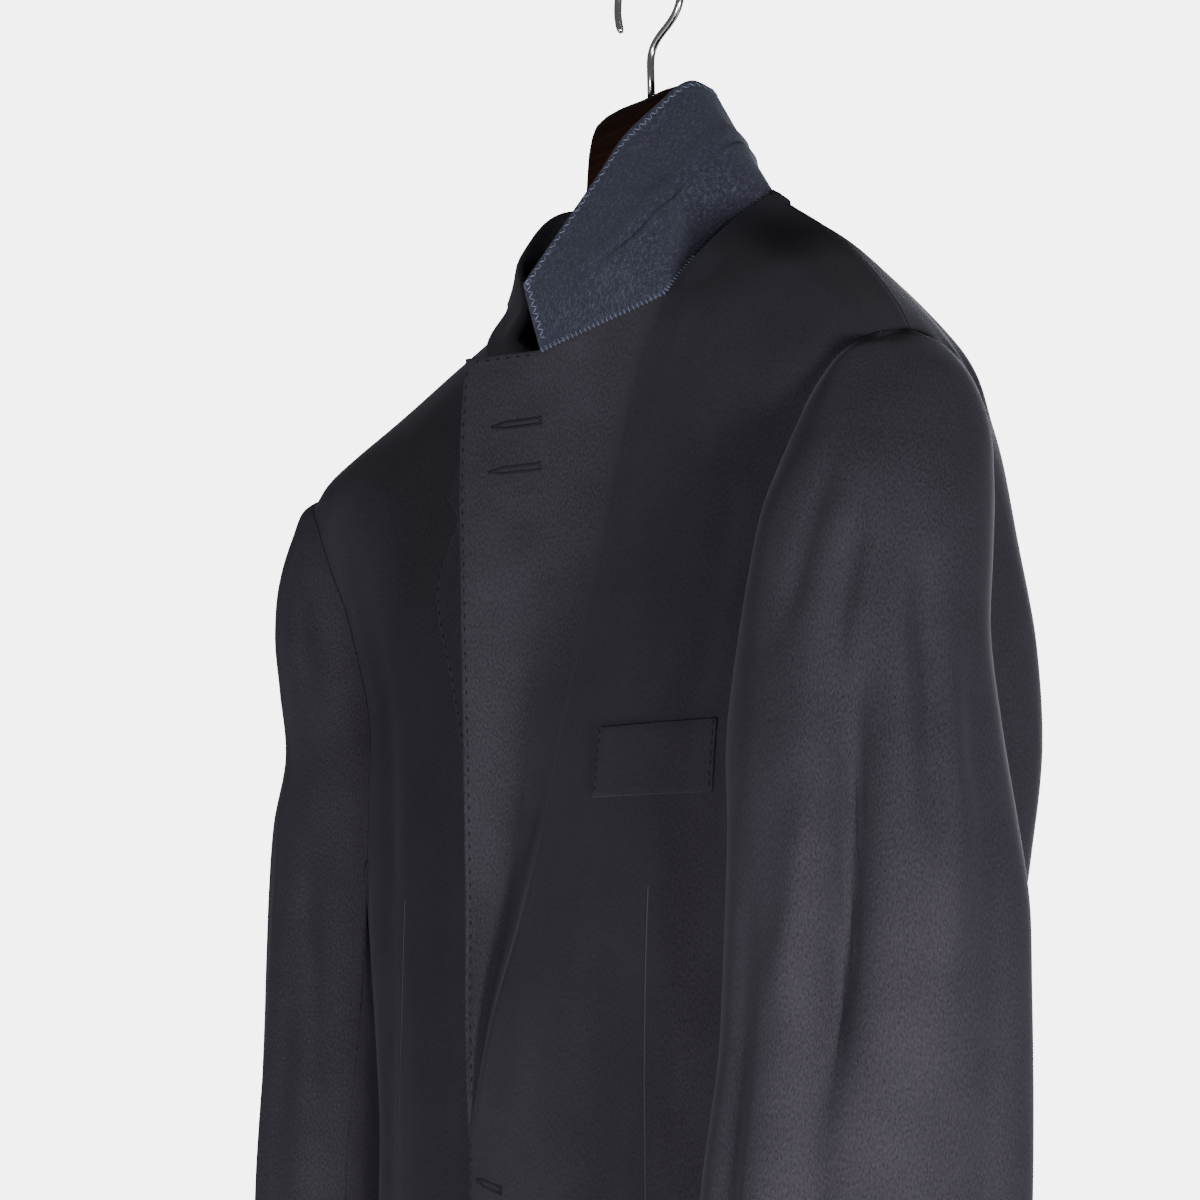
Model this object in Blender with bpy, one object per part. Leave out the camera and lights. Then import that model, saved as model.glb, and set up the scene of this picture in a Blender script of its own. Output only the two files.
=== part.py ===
# A single-breasted blazer hanging on a wooden hanger.
# The origin is the inside top of the hanger's hook, where a rail or a wall hook holds it.
# +X is the wearer's left, -Y is the front and +Z is up. All lengths are in metres.
import math

import bmesh
import bpy
import numpy as np
from mathutils import Vector, kdtree

# driving dimensions
WALL = 0.0016            # thickness of one cloth wall
SEAM = 0.0003            # gap between neighbouring pieces
NECK_LEVEL = -0.158      # height of the shoulder line's datum below the hook
NECK_SETBACK = -0.008    # the garment's middle stands this far in front of the hook
BOW = 1.0                # forward bow of the shoulders, metres of Y per square metre of X
ROUND = 2.2              # exponent of the body's rounded sections
HEM = -0.715             # heights below are measured from the datum
UNDERARM = -0.310
CUFF = -0.705

# Body sections: half width, depth of the front and back from the shoulder arc, and how far
# the front leans round towards the wearer's right.
BODY = {
    "height":     (0.021, 0.006, -0.007, -0.020, -0.036, -0.050, -0.075, -0.086, -0.101, -0.121,
                   -0.143, -0.166, -0.200, -0.247, -0.310, -0.400, -0.500, -0.600, -0.720),
    "half_width": (0.080, 0.106, 0.129, 0.152, 0.176, 0.195, 0.224, 0.233, 0.234, 0.231,
                   0.226, 0.222, 0.220, 0.220, 0.216, 0.205, 0.208, 0.216, 0.222),
    "front":      (0.020, 0.032, 0.044, 0.059, 0.074, 0.078, 0.080, 0.081, 0.081, 0.082,
                   0.082, 0.084, 0.087, 0.092, 0.099, 0.106, 0.108, 0.108, 0.107),
    "back":       (0.028, 0.040, 0.049, 0.056, 0.065, 0.070, 0.075, 0.077, 0.080, 0.084,
                   0.088, 0.091, 0.094, 0.096, 0.096, 0.090, 0.093, 0.099, 0.104),
    "turn":       (0.000, -0.004, -0.007, -0.009, -0.011, -0.013, -0.018, -0.022, -0.033, -0.048,
                   -0.068, -0.088, -0.122, -0.132, -0.137, -0.137, -0.137, -0.137, -0.137),
}

# Sleeve sections: middle of the tube and its two half widths.
SLEEVE = {
    "height": (-0.075, -0.086, -0.101, -0.121, -0.143, -0.175, -0.208, -0.247, -0.300, -0.340,
               -0.414, -0.500, -0.600, -0.705),
    "x":      (0.209, 0.210, 0.213, 0.219, 0.223, 0.226, 0.229, 0.236, 0.243, 0.244,
               0.244, 0.246, 0.244, 0.242),
    "y":      (-0.026, -0.031, -0.033, -0.0345, -0.037, -0.0375, -0.0365, -0.040, -0.0417, -0.044,
               -0.0525, -0.056, -0.065, -0.075),
    "wide":   (0.015, 0.032, 0.040, 0.044, 0.046, 0.0475, 0.0487, 0.052, 0.0562, 0.0575,
               0.061, 0.056, 0.051, 0.046),
    "narrow": (0.015, 0.032, 0.040, 0.044, 0.047, 0.050, 0.052, 0.055, 0.056, 0.055,
               0.050, 0.050, 0.047, 0.043),
}
SLEEVE_LEAN = math.radians(49.5)     # direction of the wider half width, from +X
RIGHT_SHARE = {          # the right shoulder slopes more and its front lies flatter
    "height":     (0.021, 0.006, -0.007, -0.020, -0.036, -0.050, -0.075, -0.100, -0.200, -0.720),
    "half_width": (1.000, 0.940, 0.890, 0.880, 0.895, 0.930, 0.990, 1.000, 1.000, 1.000),
    "front":      (1.000, 0.900, 0.820, 0.790, 0.800, 0.840, 0.930, 0.970, 0.960, 0.940),
}
BACK_SLOPE = 0.60        # flattens the back just behind the shoulder seams
PROUD = 0.009            # the left front stands forward over the right one
SLEEVE_CLEAR = 0.006                 # gap between the sleeve and the body that it presses in

# The armhole's two sides: distance from the middle at each height.
ARMHOLE_FRONT = ((-0.075, 0.2240), (-0.080, 0.2230), (-0.087, 0.2195), (-0.101, 0.2100), (-0.121, 0.2000),
                 (-0.143, 0.1930), (-0.166, 0.1895), (-0.200, 0.1870), (-0.236, 0.1880),
                 (-0.268, 0.1920))
ARMHOLE_BACK = {
    1: ((-0.075, 0.2240), (-0.082, 0.2260), (-0.096, 0.2260), (-0.118, 0.2230),
        (-0.144, 0.2200), (-0.175, 0.2170), (-0.208, 0.2150), (-0.245, 0.2130)),
    -1: ((-0.075, 0.2218), (-0.082, 0.2245), (-0.096, 0.2225), (-0.118, 0.2170),
         (-0.144, 0.2100), (-0.175, 0.2040), (-0.208, 0.2000), (-0.245, 0.1985)),
}
UNDERARM_STEPS = 6
LOW_STEPS = 10           # rows from the armhole to the hem
SLEEVE_STEPS = 12        # rows from the armhole's lower front to the cuff
SLEEVE_COLUMNS = 12
PULL_REACH = 0.045       # how far from the armhole the sleeve is drawn towards it
LOW_REACH = 0.022        # the same under the arm
HIND_SEAM = 7            # row of ARMHOLE_BACK where the sleeve's hind seam starts

# Drape of the back behind each armhole, and the sleeves' soft vertical folds.
BACK_DRAPE = {"angle": math.radians(124), "spread": math.radians(17), "height": -0.215,
              "reach": 0.100, "depth": 0.0195}
SLEEVE_FOLDS = (          # angle, top, bottom, depth and half angle of each trough
    (325, -0.150, -0.690, 0.0050, 22),
    (285, -0.190, -0.520, 0.0030, 16),
    (10, -0.150, -0.560, 0.0030, 18),
)

# Fronts: the lines where each front's chest ends, from the neck to the hem, as
# (height, distance towards the wearer's left).
LEFT_EDGE = ((0.021, 0.080), (0.001, 0.0825), (-0.017, 0.0865), (-0.036, 0.092), (-0.065, 0.0835), (-0.095, 0.0748),
             (-0.130, 0.0645), (-0.170, 0.0528), (-0.210, 0.0411), (-0.255, 0.0279), (-0.300, 0.0147),
             (-0.350, 0.0001), (-0.398, -0.0140), (-0.460, -0.0140), (-0.520, -0.0140),
             (-0.580, -0.0130), (-0.640, -0.0060), (-0.685, 0.0140), (-0.708, 0.0430),
             (HEM, 0.0800))
RIGHT_EDGE = ((0.021, -0.080), (-0.003, -0.081), (-0.027, -0.054), (-0.052, -0.022),
              (-0.088, -0.008), (-0.114, -0.002), (-0.143, 0.004), (-0.178, 0.010), (-0.215, 0.015),
              (-0.257, 0.020), (-0.301, 0.026), (-0.345, 0.031), (-0.392, 0.034), (-0.460, 0.034),
              (-0.520, 0.034), (-0.580, 0.033), (-0.640, 0.026), (-0.685, 0.006), (-0.708, -0.030),
              (HEM, -0.0800))
LAPEL_TOP = 3            # row of the edge where the lapel starts
LAPEL_END = 12           # row where its roll line meets the front edge
CHEST_COLUMNS = 8
# Outer edge of the left lapel, which hangs unrolled: x, y, z for the rows from LAPEL_TOP.
LEFT_LAPEL = ((0.000, -0.0985, -0.053), (-0.002, -0.1000, -0.078), (-0.0035, -0.1005, -0.108),
              (-0.005, -0.0998, -0.142), (-0.0070, -0.0985, -0.180), (-0.0080, -0.0978, -0.218),
              (-0.0085, -0.0975, -0.260), (-0.0090, -0.0970, -0.302), (-0.0110, -0.0962, -0.350))
LEFT_NOTCH = (0.0405, -0.085, -0.055)
LAPEL_SAG = (0.000, 0.000, 0.000, 0.001, 0.003, 0.006, 0.009, 0.009, 0.005)
# Outer edge of the right lapel, rolled back on the chest: height and distance for the same rows.
RIGHT_LAPEL = ((-0.120, -0.0545), (-0.1475, -0.0755), (-0.162, -0.0745), (-0.186, -0.0665),
               (-0.214, -0.056), (-0.246, -0.042), (-0.282, -0.026), (-0.318, -0.008),
               (-0.355, 0.012))
ROLL_RADIUS = 0.0035
UNDERLAP = {"start": -0.045, "full": 0.000, "depth": 0.012, "low_depth": 0.007}

# Collar rows from its left tip round the back to its right tip: crest of the stand, outer
# edge and lift. The right half is folded over, and a pair there is a (height, distance) on the
# chest, lifted off it.
COLLAR = (
    ((0.0350, -0.0850, -0.0420), (0.0260, -0.0840, -0.0230), 0),
    ((0.0530, -0.0710, -0.0240), (0.0310, -0.0650, 0.0050), 0),
    ((0.0740, -0.0535, -0.0060), (0.0370, -0.0460, 0.0340), 0),
    ((0.0750, -0.0420, 0.0080), (0.0390, -0.0370, 0.0480), 0),
    ((0.0740, -0.0250, 0.0240), (0.0410, -0.0200, 0.0650), 0),
    ((0.0655, 0.0085, 0.0450), (0.0440, -0.0010, 0.0790), 0),
    ((0.0570, 0.0200, 0.0450), (0.0420, 0.0100, 0.0780), 0),
    ((0.0350, 0.0370, 0.0470), (0.0240, 0.0220, 0.0830), 0),
    ((0.0000, 0.0430, 0.0480), (0.0000, 0.0270, 0.0870), 0),
    ((-0.0400, 0.0400, 0.0480), (-0.0420, 0.0480, 0.0790), 0),
    ((-0.0660, 0.0280, 0.0470), (-0.0880, 0.0580, 0.0460), 0),
    ((-0.0790, 0.0090, 0.0440), (-0.1150, 0.0250, 0.0130), 0),
    ((-0.0750, -0.0170, 0.0190), (0.0000, -0.1050), 0.0060),
    ((-0.0220, -0.0470), (-0.0165, -0.0740), 0.0085),
    ((-0.0370, -0.0375), (-0.0360, -0.0640), 0.0085),
    ((-0.0465, -0.0215), (-0.0480, -0.0560), 0.0055),
    ((-0.0500, -0.0285), (-0.0560, -0.0548), 0.0072),
    ((-0.0680, -0.0375), (-0.0660, -0.0545), 0.0072),
    ((-0.0820, -0.0455), (-0.0810, -0.0560), 0.0073),
    ((-0.1125, -0.0610), (-0.1060, -0.0680), 0.0072),
)
COLLAR_WALL = 0.0010
COLLAR_GAP = 0.0007
CREST = 0.0028           # half the width of the crest's rounding
ON_CLOTH = 0.0007        # gap under a piece that lies on a panel
WELT = ((0.076, -0.2235), (0.172, -0.2270), (0.074, -0.2530), (0.171, -0.2560))
FLAP = ((0.052, -0.4980), (0.170, -0.4950), (0.051, -0.5530), (0.170, -0.5500))
BUTTONS = {"radius": 0.010, "thick": 0.0038, "distance": 0.014, "upper": -0.415, "lower": -0.520}

HANGER = {"neck_half": 0.040, "neck_top": 0.083, "neck_thick": 0.011, "tip": 0.212,
          "arm_low": 0.034, "arm_thin": 0.010, "arm_thick": 0.016}
ARM_CLEAR = 0.0065       # between the arms' sides and the cloth's outer face
NECK_LINE = ((0.0, 0.083), (0.024, 0.083), (0.033, 0.0815), (0.0375, 0.0785), (0.0395, 0.073),
             (0.041, 0.060), (0.0435, 0.048), (0.048, 0.036), (0.055, 0.026), (0.064, 0.017))
HOOK_WIRE = 0.0019
HOOK_RADIUS = 0.024


def smooth(xs, ys, x):
    # value at x of a smooth curve through the rows
    order = np.argsort(xs)
    xs = np.asarray(xs, float)[order]
    ys = np.asarray(ys, float)[order]
    slopes = np.gradient(ys, xs, axis=0)
    i = int(np.clip(np.searchsorted(xs, x) - 1, 0, len(xs) - 2))
    h = xs[i + 1] - xs[i]
    t = min(max((x - xs[i]) / h, 0.0), 1.0)
    return (ys[i] * (1 + 2 * t) * (1 - t) ** 2 + h * slopes[i] * t * (1 - t) ** 2
            + ys[i + 1] * t * t * (3 - 2 * t) + h * slopes[i + 1] * t * t * (t - 1))


def ramp(x, low, high):
    # 0 below low, 1 above high, smooth between
    t = min(max((x - low) / (high - low), 0.0), 1.0)
    return t * t * (3 - 2 * t)


def body_row(name, height, side=1):
    value = smooth(BODY["height"], BODY[name], height)
    if side < 0 and name in RIGHT_SHARE:
        value *= smooth(RIGHT_SHARE["height"], RIGHT_SHARE[name], height)
    return value


def signed_power(value, exponent):
    return math.copysign(abs(value) ** exponent, value)


def placed(x, y, z):
    # from the garment's own datum to the part's frame
    return np.array((x, y + NECK_SETBACK, z + NECK_LEVEL))


def sleeve_middle(side, height):
    x = smooth(SLEEVE["height"], SLEEVE["x"], height)
    y = smooth(SLEEVE["height"], SLEEVE["y"], height)
    return x, y + body_row("turn", height) * side * x


def tube_radius(angle, height):
    # the hanging sleeve's section, before it is drawn to the armhole
    wide = smooth(SLEEVE["height"], SLEEVE["wide"], height)
    narrow = smooth(SLEEVE["height"], SLEEVE["narrow"], height)
    turn = angle - SLEEVE_LEAN
    radius = wide * narrow / math.hypot(narrow * math.cos(turn), wide * math.sin(turn))
    for middle, top, bottom, depth, half in SLEEVE_FOLDS:
        away = (math.degrees(angle) - middle + 180) % 360 - 180
        fade = ramp(-height, -top, -top + 0.10) * ramp(height, bottom, bottom + 0.12)
        radius -= depth * fade * math.exp(-(away / half) ** 2)
    return radius


def pressed(side, x, y, height):
    # the body's side gives way to the sleeve that hangs against it
    share = ramp(-height, 0.19, 0.265)
    if share == 0.0 or x < 0.10:
        return x, y
    cx, cy = sleeve_middle(side, height)
    away = math.hypot(x - cx, y - cy)
    need = tube_radius(math.atan2(y - cy, x - cx), height) + SLEEVE_CLEAR
    soft = 0.004
    push = share * soft * math.log1p(math.exp(min((need - away) / soft, 50.0)))
    return x + (x - cx) / away * push, y + (y - cy) / away * push


def body(side, angle, height):
    # A point of the body: angle 0 is the middle of the front, 90 degrees the side and 180
    # degrees the middle of the back. A negative angle goes on past the middle of the front.
    half = body_row("half_width", height, side)
    x = half * signed_power(math.sin(angle), 2 / ROUND)
    cosine = math.cos(angle)
    if cosine >= 0:
        y = -body_row("front", height, side) * cosine ** (2 / ROUND)
    else:
        slack = BACK_SLOPE * (1 - ramp(-height, 0.02, 0.10))
        y = body_row("back", height) * (-cosine) ** (2 / ROUND + slack)
    y += 0.020 - BOW * x * x
    if side > 0:
        y -= PROUD * (1 - ramp(x, 0.01, 0.11)) * ramp(-height, 0.27, 0.37)
    y += body_row("turn", height) * side * x * (1 - ramp(math.degrees(angle), 60, 120))
    if angle > 0:
        drape = BACK_DRAPE
        bulge = math.exp(-((angle - drape["angle"]) / drape["spread"]) ** 2
                         - ((height - drape["height"]) / drape["reach"]) ** 2)
        depth = drape["depth"] * (1.0 if side > 0 else 0.25)
        x += depth * bulge * 0.72
        y += depth * bulge * 0.69
        x, y = pressed(side, x, y, height)
    return placed(side * x, y, height)


def body_angle(side, height, distance, behind=False):
    # the angle at which the body is this far towards the wearer's left
    share = side * distance / body_row("half_width", height, side)
    angle = math.asin(min(max(signed_power(share, ROUND / 2), -1.0), 1.0))
    return math.pi - angle if behind else angle


def body_normal(side, angle, height):
    step = 0.002
    low = height - step
    high = height + step
    along = body(side, angle + 0.02, height) - body(side, angle - 0.02, height)
    rise = body(side, angle, min(high, BODY["height"][0])) - body(side, angle, low)
    normal = np.cross(along, rise) * side
    return normal / np.linalg.norm(normal)


def armhole(side, part, row):
    # angle and height on the body of one point of the armhole
    if part == "front":
        height, distance = ARMHOLE_FRONT[row]
        return body_angle(side, height, side * distance), height
    if part == "back":
        height, distance = ARMHOLE_BACK[side][row]
        return body_angle(side, height, side * distance, behind=True), height
    first, low_first = armhole(side, "front", len(ARMHOLE_FRONT) - 1)
    last, low_last = armhole(side, "back", len(ARMHOLE_BACK[side]) - 1)
    t = row / UNDERARM_STEPS
    dip = (low_first + low_last) / 2 - UNDERARM
    height = low_first + (low_last - low_first) * t - dip * math.sin(math.pi * t) ** 1.2
    return first + (last - first) * (t + 0.05 * math.sin(2 * math.pi * t)), height


def sleeve_angle(side, part, row):
    # direction of an armhole point as seen from the middle of the sleeve
    angle, height = armhole(side, part, row)
    point = body(side, angle, height) - placed(0, 0, 0)
    cx, cy = sleeve_middle(side, height)
    return math.degrees(math.atan2(point[1] - cy, side * point[0] - cx)) % 360, height


class Tube:
    # one sleeve: points by direction and height
    def __init__(self, side):
        self.side = side
        self.excess = []
        for part, steps in (("front", len(ARMHOLE_FRONT)), ("under", UNDERARM_STEPS + 1),
                            ("back", len(ARMHOLE_BACK[side]))):
            for row in range(steps):
                turn, height = sleeve_angle(side, part, row)
                angle, level = armhole(side, part, row)
                point = body(side, angle, level) - placed(0, 0, 0)
                cx, cy = sleeve_middle(side, height)
                radius = math.hypot(side * point[0] - cx, point[1] - cy)
                more = radius - tube_radius(math.radians(turn), height)
                self.excess.append((turn, height, more))

    def radius(self, turn, height):
        # Near the armhole the tube is drawn to it, and the pull fades over a few centimetres.
        base = tube_radius(math.radians(turn), height)
        weight = 0.0
        pull = 0.0
        nearest = 9.0
        for at, level, more in self.excess:
            away = (turn - at + 180) % 360 - 180
            gap = math.hypot(away / 360 * 0.36, height - level)
            share = 1 / (gap * gap + 1e-9) ** 1.5
            weight += share
            pull += share * more
            nearest = min(nearest, gap)
        reach = PULL_REACH - (PULL_REACH - LOW_REACH) * ramp(-height, 0.22, 0.27)
        return base + pull / weight * (1 - ramp(nearest, 0.0, reach))

    def point(self, turn, height):
        radius = self.radius(turn, height)
        cx, cy = sleeve_middle(self.side, height)
        angle = math.radians(turn)
        return placed(self.side * (cx + radius * math.cos(angle)), cy + radius * math.sin(angle), height)


def finish(name, colour, roughness, metallic=0.0):
    material = bpy.data.materials.get(name) or bpy.data.materials.new(name)
    material.use_nodes = True
    shader = material.node_tree.nodes["Principled BSDF"]
    shader.inputs["Base Color"].default_value = (*colour, 1.0)
    shader.inputs["Roughness"].default_value = roughness
    shader.inputs["Metallic"].default_value = metallic
    material.diffuse_color = (*colour, 1.0)
    return material


def keep(name, mesh, material):
    part = bpy.data.objects.new(name, mesh)
    mesh.materials.append(material)
    bpy.data.collections["Blazer on a hanger"].objects.link(part)
    return part


def grid_normals(grid, outward):
    # normals of a grid, all on the side that outward points to from the grid's middle
    down = np.gradient(grid, axis=0)
    across = np.gradient(grid, axis=1)
    normals = np.cross(across, down)
    size = np.linalg.norm(normals, axis=2, keepdims=True)
    good = size[..., 0] > 1e-9
    normals = normals / np.maximum(size, 1e-12)
    row = grid.shape[0] // 2
    column = grid.shape[1] // 2
    if np.dot(normals[row, column], outward(grid[row, column])) < 0:
        normals = -normals
    for i, j in zip(*np.where(~good)):
        near = [(abs(i - a) + abs(j - b), a, b) for a, b in zip(*np.where(good))]
        least = min(near)
        normals[i, j] = normals[least[1], least[2]]
    return normals


def settle(original, moved):
    # points of a grid that were one stay one
    groups = {}
    for place in np.ndindex(original.shape[:2]):
        groups.setdefault(tuple(np.round(original[place] / 2e-5).astype(int)), []).append(place)
    for places in groups.values():
        mean = sum(moved[place] for place in places) / len(places)
        for place in places:
            moved[place] = mean
    return moved


def pull_in(grid, sides, gap=SEAM / 2):
    # Moves the named sides of a grid inwards by half a seam's gap.
    moved = grid.copy()
    pairs = {"top": ((0, slice(None)), (1, slice(None))),
             "bottom": ((-1, slice(None)), (-2, slice(None))),
             "first": ((slice(None), 0), (slice(None), 1)),
             "last": ((slice(None), -1), (slice(None), -2))}
    for side in sides:
        edge, inner = pairs[side]
        way = grid[inner] - grid[edge]
        size = np.linalg.norm(way, axis=1, keepdims=True)
        moved[edge] += way / np.maximum(size, 1e-9) * gap * (size > 1e-7)
    return settle(grid, moved)


def share_normals(pieces):
    # Panels that meet at a seam lean the same way along it. A sleeve and the body do so only
    # where the armhole isn't a fold.
    spots = []
    for name, grids in pieces.items():
        for number, (grid, normals, sides) in enumerate(grids):
            spots.extend((name, number, place) for place in np.ndindex(grid.shape[:2]))
    tree = kdtree.KDTree(len(spots))
    for index, (name, number, place) in enumerate(spots):
        tree.insert(pieces[name][number][0][place], index)
    tree.balance()
    common = []
    for index, (name, number, place) in enumerate(spots):
        sums = {}
        for _, other, _ in tree.find_range(pieces[name][number][0][place], 4e-5):
            owner, grid_number, spot = spots[other]
            sums[owner] = sums.get(owner, 0) + pieces[owner][grid_number][1][spot]
        groups = {}
        for owner, value in sums.items():
            kind = "sleeve" in owner
            groups[kind] = groups.get(kind, 0) + value / max(np.linalg.norm(value), 1e-9)
        groups = {kind: value / np.linalg.norm(value) for kind, value in groups.items()}
        total = groups["sleeve" in name]
        if len(groups) == 2 and np.dot(groups[True], groups[False]) > 0.3:
            total = groups[True] + groups[False]
        common.append(total / np.linalg.norm(total))
    for (name, number, place), normal in zip(spots, common):
        pieces[name][number][1][place] = normal


def cloth(name, grids, material, out=0.0, depth=WALL):
    # A wall from one or more grids of points with normals. Points that coincide are one.
    index = {}
    points = []
    normals = []
    lengths = {}
    faces = []
    for grid, grid_normal in grids:
        rows, columns = grid.shape[:2]
        for i in range(rows - 1):
            for j in range(columns - 1):
                loop = []
                for a, b in ((i, j), (i, j + 1), (i + 1, j + 1), (i + 1, j)):
                    key = tuple(np.round(grid[a, b] / 2e-5).astype(int))
                    if key not in index:
                        index[key] = len(points)
                        points.append(grid[a, b])
                        normals.append(np.zeros(3))
                    place = index[key]
                    normals[place] = normals[place] + grid_normal[a, b]
                    lengths.setdefault(place, []).append(np.linalg.norm(grid_normal[a, b]))
                    if place not in loop:
                        loop.append(place)
                if len(loop) == 3:
                    faces.append(loop)
                if len(loop) == 4:
                    one = np.linalg.norm(points[loop[0]] - points[loop[2]])
                    two = np.linalg.norm(points[loop[1]] - points[loop[3]])
                    turn = 0 if one <= two else 1
                    loop = loop[turn:] + loop[:turn]
                    faces.append([loop[0], loop[1], loop[2]])
                    faces.append([loop[0], loop[2], loop[3]])
    edges = set()
    for loop in faces:
        edges.update(zip(loop, loop[1:] + loop[:1]))
    mesh_data = bmesh.new()
    outer = []
    inner = []
    for place, (point, normal) in enumerate(zip(points, normals)):
        unit = normal / np.linalg.norm(normal) * np.mean(lengths[place])
        outer.append(mesh_data.verts.new(point + unit * out))
        inner.append(mesh_data.verts.new(point + unit * (out - depth)))
    for loop in faces:
        mesh_data.faces.new([outer[k] for k in loop])
        mesh_data.faces.new([inner[k] for k in reversed(loop)])
    for a, b in sorted(edges):
        if (b, a) in edges:
            continue
        if np.dot(points[a] - points[b], (0.1, 0.3, 1.0)) > 0:
            mesh_data.faces.new((outer[b], outer[a], inner[b]))
            mesh_data.faces.new((outer[a], inner[a], inner[b]))
        else:
            mesh_data.faces.new((outer[b], outer[a], inner[a]))
            mesh_data.faces.new((outer[b], inner[a], inner[b]))
    bmesh.ops.recalc_face_normals(mesh_data, faces=mesh_data.faces[:])
    mesh = bpy.data.meshes.new(name)
    mesh_data.to_mesh(mesh)
    mesh_data.free()
    for polygon in mesh.polygons:
        polygon.use_smooth = True
    mesh.set_sharp_from_angle(angle=math.radians(50))
    return keep(name, mesh, material)


def body_grid(side, cells, depth_at=None):
    # points and normals of the body for a grid of (angle, height) cells
    grid = np.array([[body(side, *cell) for cell in row] for row in cells])
    if depth_at:
        for place in np.ndindex(grid.shape[:2]):
            normal = body_normal(side, *cells[place[0]][place[1]])
            grid[place] -= normal * depth_at(grid[place])
    return grid, grid_normals(grid, lambda point: point - placed(0.0, -0.02, point[2] - NECK_LEVEL))


def blend(first, last, t):
    return first[0] + (last[0] - first[0]) * t, first[1] + (last[1] - first[1]) * t


def low_heights(start, steps):
    return [start + (HEM - start) * (k + 1) / steps for k in range(steps)]


def seam_down(side, part, steps):
    # the seam from the armhole's lower corner to the hem
    row = len(ARMHOLE_FRONT if part == "front" else ARMHOLE_BACK[side]) - 1
    angle, height = armhole(side, part, row)
    return [(angle, low) for low in low_heights(height, steps)]


def outer_line(side, part):
    rows = len(ARMHOLE_FRONT if part == "front" else ARMHOLE_BACK[side])
    return [armhole(side, part, row) for row in range(rows)] + seam_down(side, part, LOW_STEPS)


def shoulder_line(side):
    heights = [0.021 - (0.021 + 0.075) * (k / CHEST_COLUMNS) for k in range(CHEST_COLUMNS + 1)]
    return [(math.pi / 2, height) for height in heights]


def front_cells(side, edge):
    # the chest between its inner edge and the armhole and side seam, under the shoulder seam
    inner = [(body_angle(side, height, distance), height) for height, distance in edge]
    inner[0] = (math.pi / 2, edge[0][0])
    outer = outer_line(side, "front")
    top = shoulder_line(side)
    last = len(outer) - 1
    cells = []
    for i in range(last + 1):
        down = i / last
        row = []
        for j in range(CHEST_COLUMNS + 1):
            across = j / CHEST_COLUMNS
            straight = blend(inner[i], outer[i], across)
            plain_top = blend(inner[0], outer[0], across)
            fade = (1 - down) ** 2
            row.append((straight[0] + (top[j][0] - plain_top[0]) * fade,
                        straight[1] + (top[j][1] - plain_top[1]) * fade))
        cells.append(row)
    return cells


def arc_between(points, steps):
    # points along a smooth curve through a few points, by distance
    points = np.asarray(points, float)
    along = np.concatenate(([0.0], np.cumsum(np.linalg.norm(np.diff(points, axis=0), axis=1))))
    return np.array([smooth(along, points, along[-1] * k / steps) for k in range(steps + 1)])


def left_front():
    chest, chest_normals = body_grid(1, front_cells(1, LEFT_EDGE))
    rows = []
    for k, edge in enumerate(LEFT_LAPEL):
        root = chest[LAPEL_TOP + k, 0]
        tip = placed(*edge)
        if k == 0:
            notch = placed(*LEFT_NOTCH)
            rows.append(np.array((root, (root + notch) / 2, notch, (notch + tip) / 2, tip)))
        else:
            middle = (root + tip) / 2 + np.array((0.0, LAPEL_SAG[k], 0.0))
            rows.append(arc_between((root, middle, tip), 4))
    rows.append(np.array([chest[LAPEL_END, 0]] * 5))
    lapel = np.array(rows)
    normals = grid_normals(lapel, lambda point: np.array((0.3, -1.0, 0.2)))
    normals[-1] = chest_normals[LAPEL_END, 0]
    return [(chest, chest_normals, ("top", "last")), (lapel[:, ::-1], normals[:, ::-1], ())]


def underlap(point):
    # the right front lies behind the left one near the middle
    lap = UNDERLAP
    height = point[2] - NECK_LEVEL
    depth = lap["depth"] + (lap["low_depth"] - lap["depth"]) * ramp(-height, 0.38, 0.44)
    return depth * ramp(point[0], lap["start"], lap["full"]) * ramp(-height, 0.05, 0.12)


def right_point(height, distance, lift):
    angle = body_angle(-1, height, distance)
    point = body(-1, angle, height)
    normal = body_normal(-1, angle, height)
    return point + normal * (lift - underlap(point)), normal


def right_flap(lift, steps):
    # the rolled lapel: rows from the roll line to the lapel's outer edge
    grid = []
    normals = []
    for k, (height, distance) in enumerate(RIGHT_LAPEL):
        edge = RIGHT_EDGE[LAPEL_TOP + k]
        line = [right_point(edge[0] + (height - edge[0]) * step / steps,
                            edge[1] + (distance - edge[1]) * step / steps, lift)
                for step in range(steps + 1)]
        grid.append([point for point, _ in line])
        normals.append([normal for _, normal in line])
    return np.array(grid), np.array(normals)


def rolled_lapel():
    # the right chest and the rolled lapel, whose rows start at the roll line
    chest, chest_normals = body_grid(-1, front_cells(-1, RIGHT_EDGE), underlap)
    flap, flap_normals = right_flap(2 * ROLL_RADIUS, 4)
    rows = []
    row_normals = []
    for k in range(flap.shape[0]):
        root = chest[LAPEL_TOP + k, 0]
        normal = chest_normals[LAPEL_TOP + k, 0]
        way = root - chest[LAPEL_TOP + k, 1]
        way = way / np.linalg.norm(way)
        bend = root + normal * ROLL_RADIUS + way * ROLL_RADIUS
        rows.append(np.vstack((root, bend, flap[k])))
        row_normals.append(np.vstack((normal, -way, -flap_normals[k])))
    end = chest[LAPEL_END, 0]
    rows.append(np.array([end] * len(rows[0])))
    row_normals.append(np.array([-way] * len(rows[0])))
    return chest, chest_normals, np.array(rows), np.array(row_normals)


def right_front():
    chest, chest_normals, flap, flap_normals = rolled_lapel()
    return [(chest, chest_normals, ("top", "last")), (flap[:, ::-1], flap_normals[:, ::-1], ())]


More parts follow.
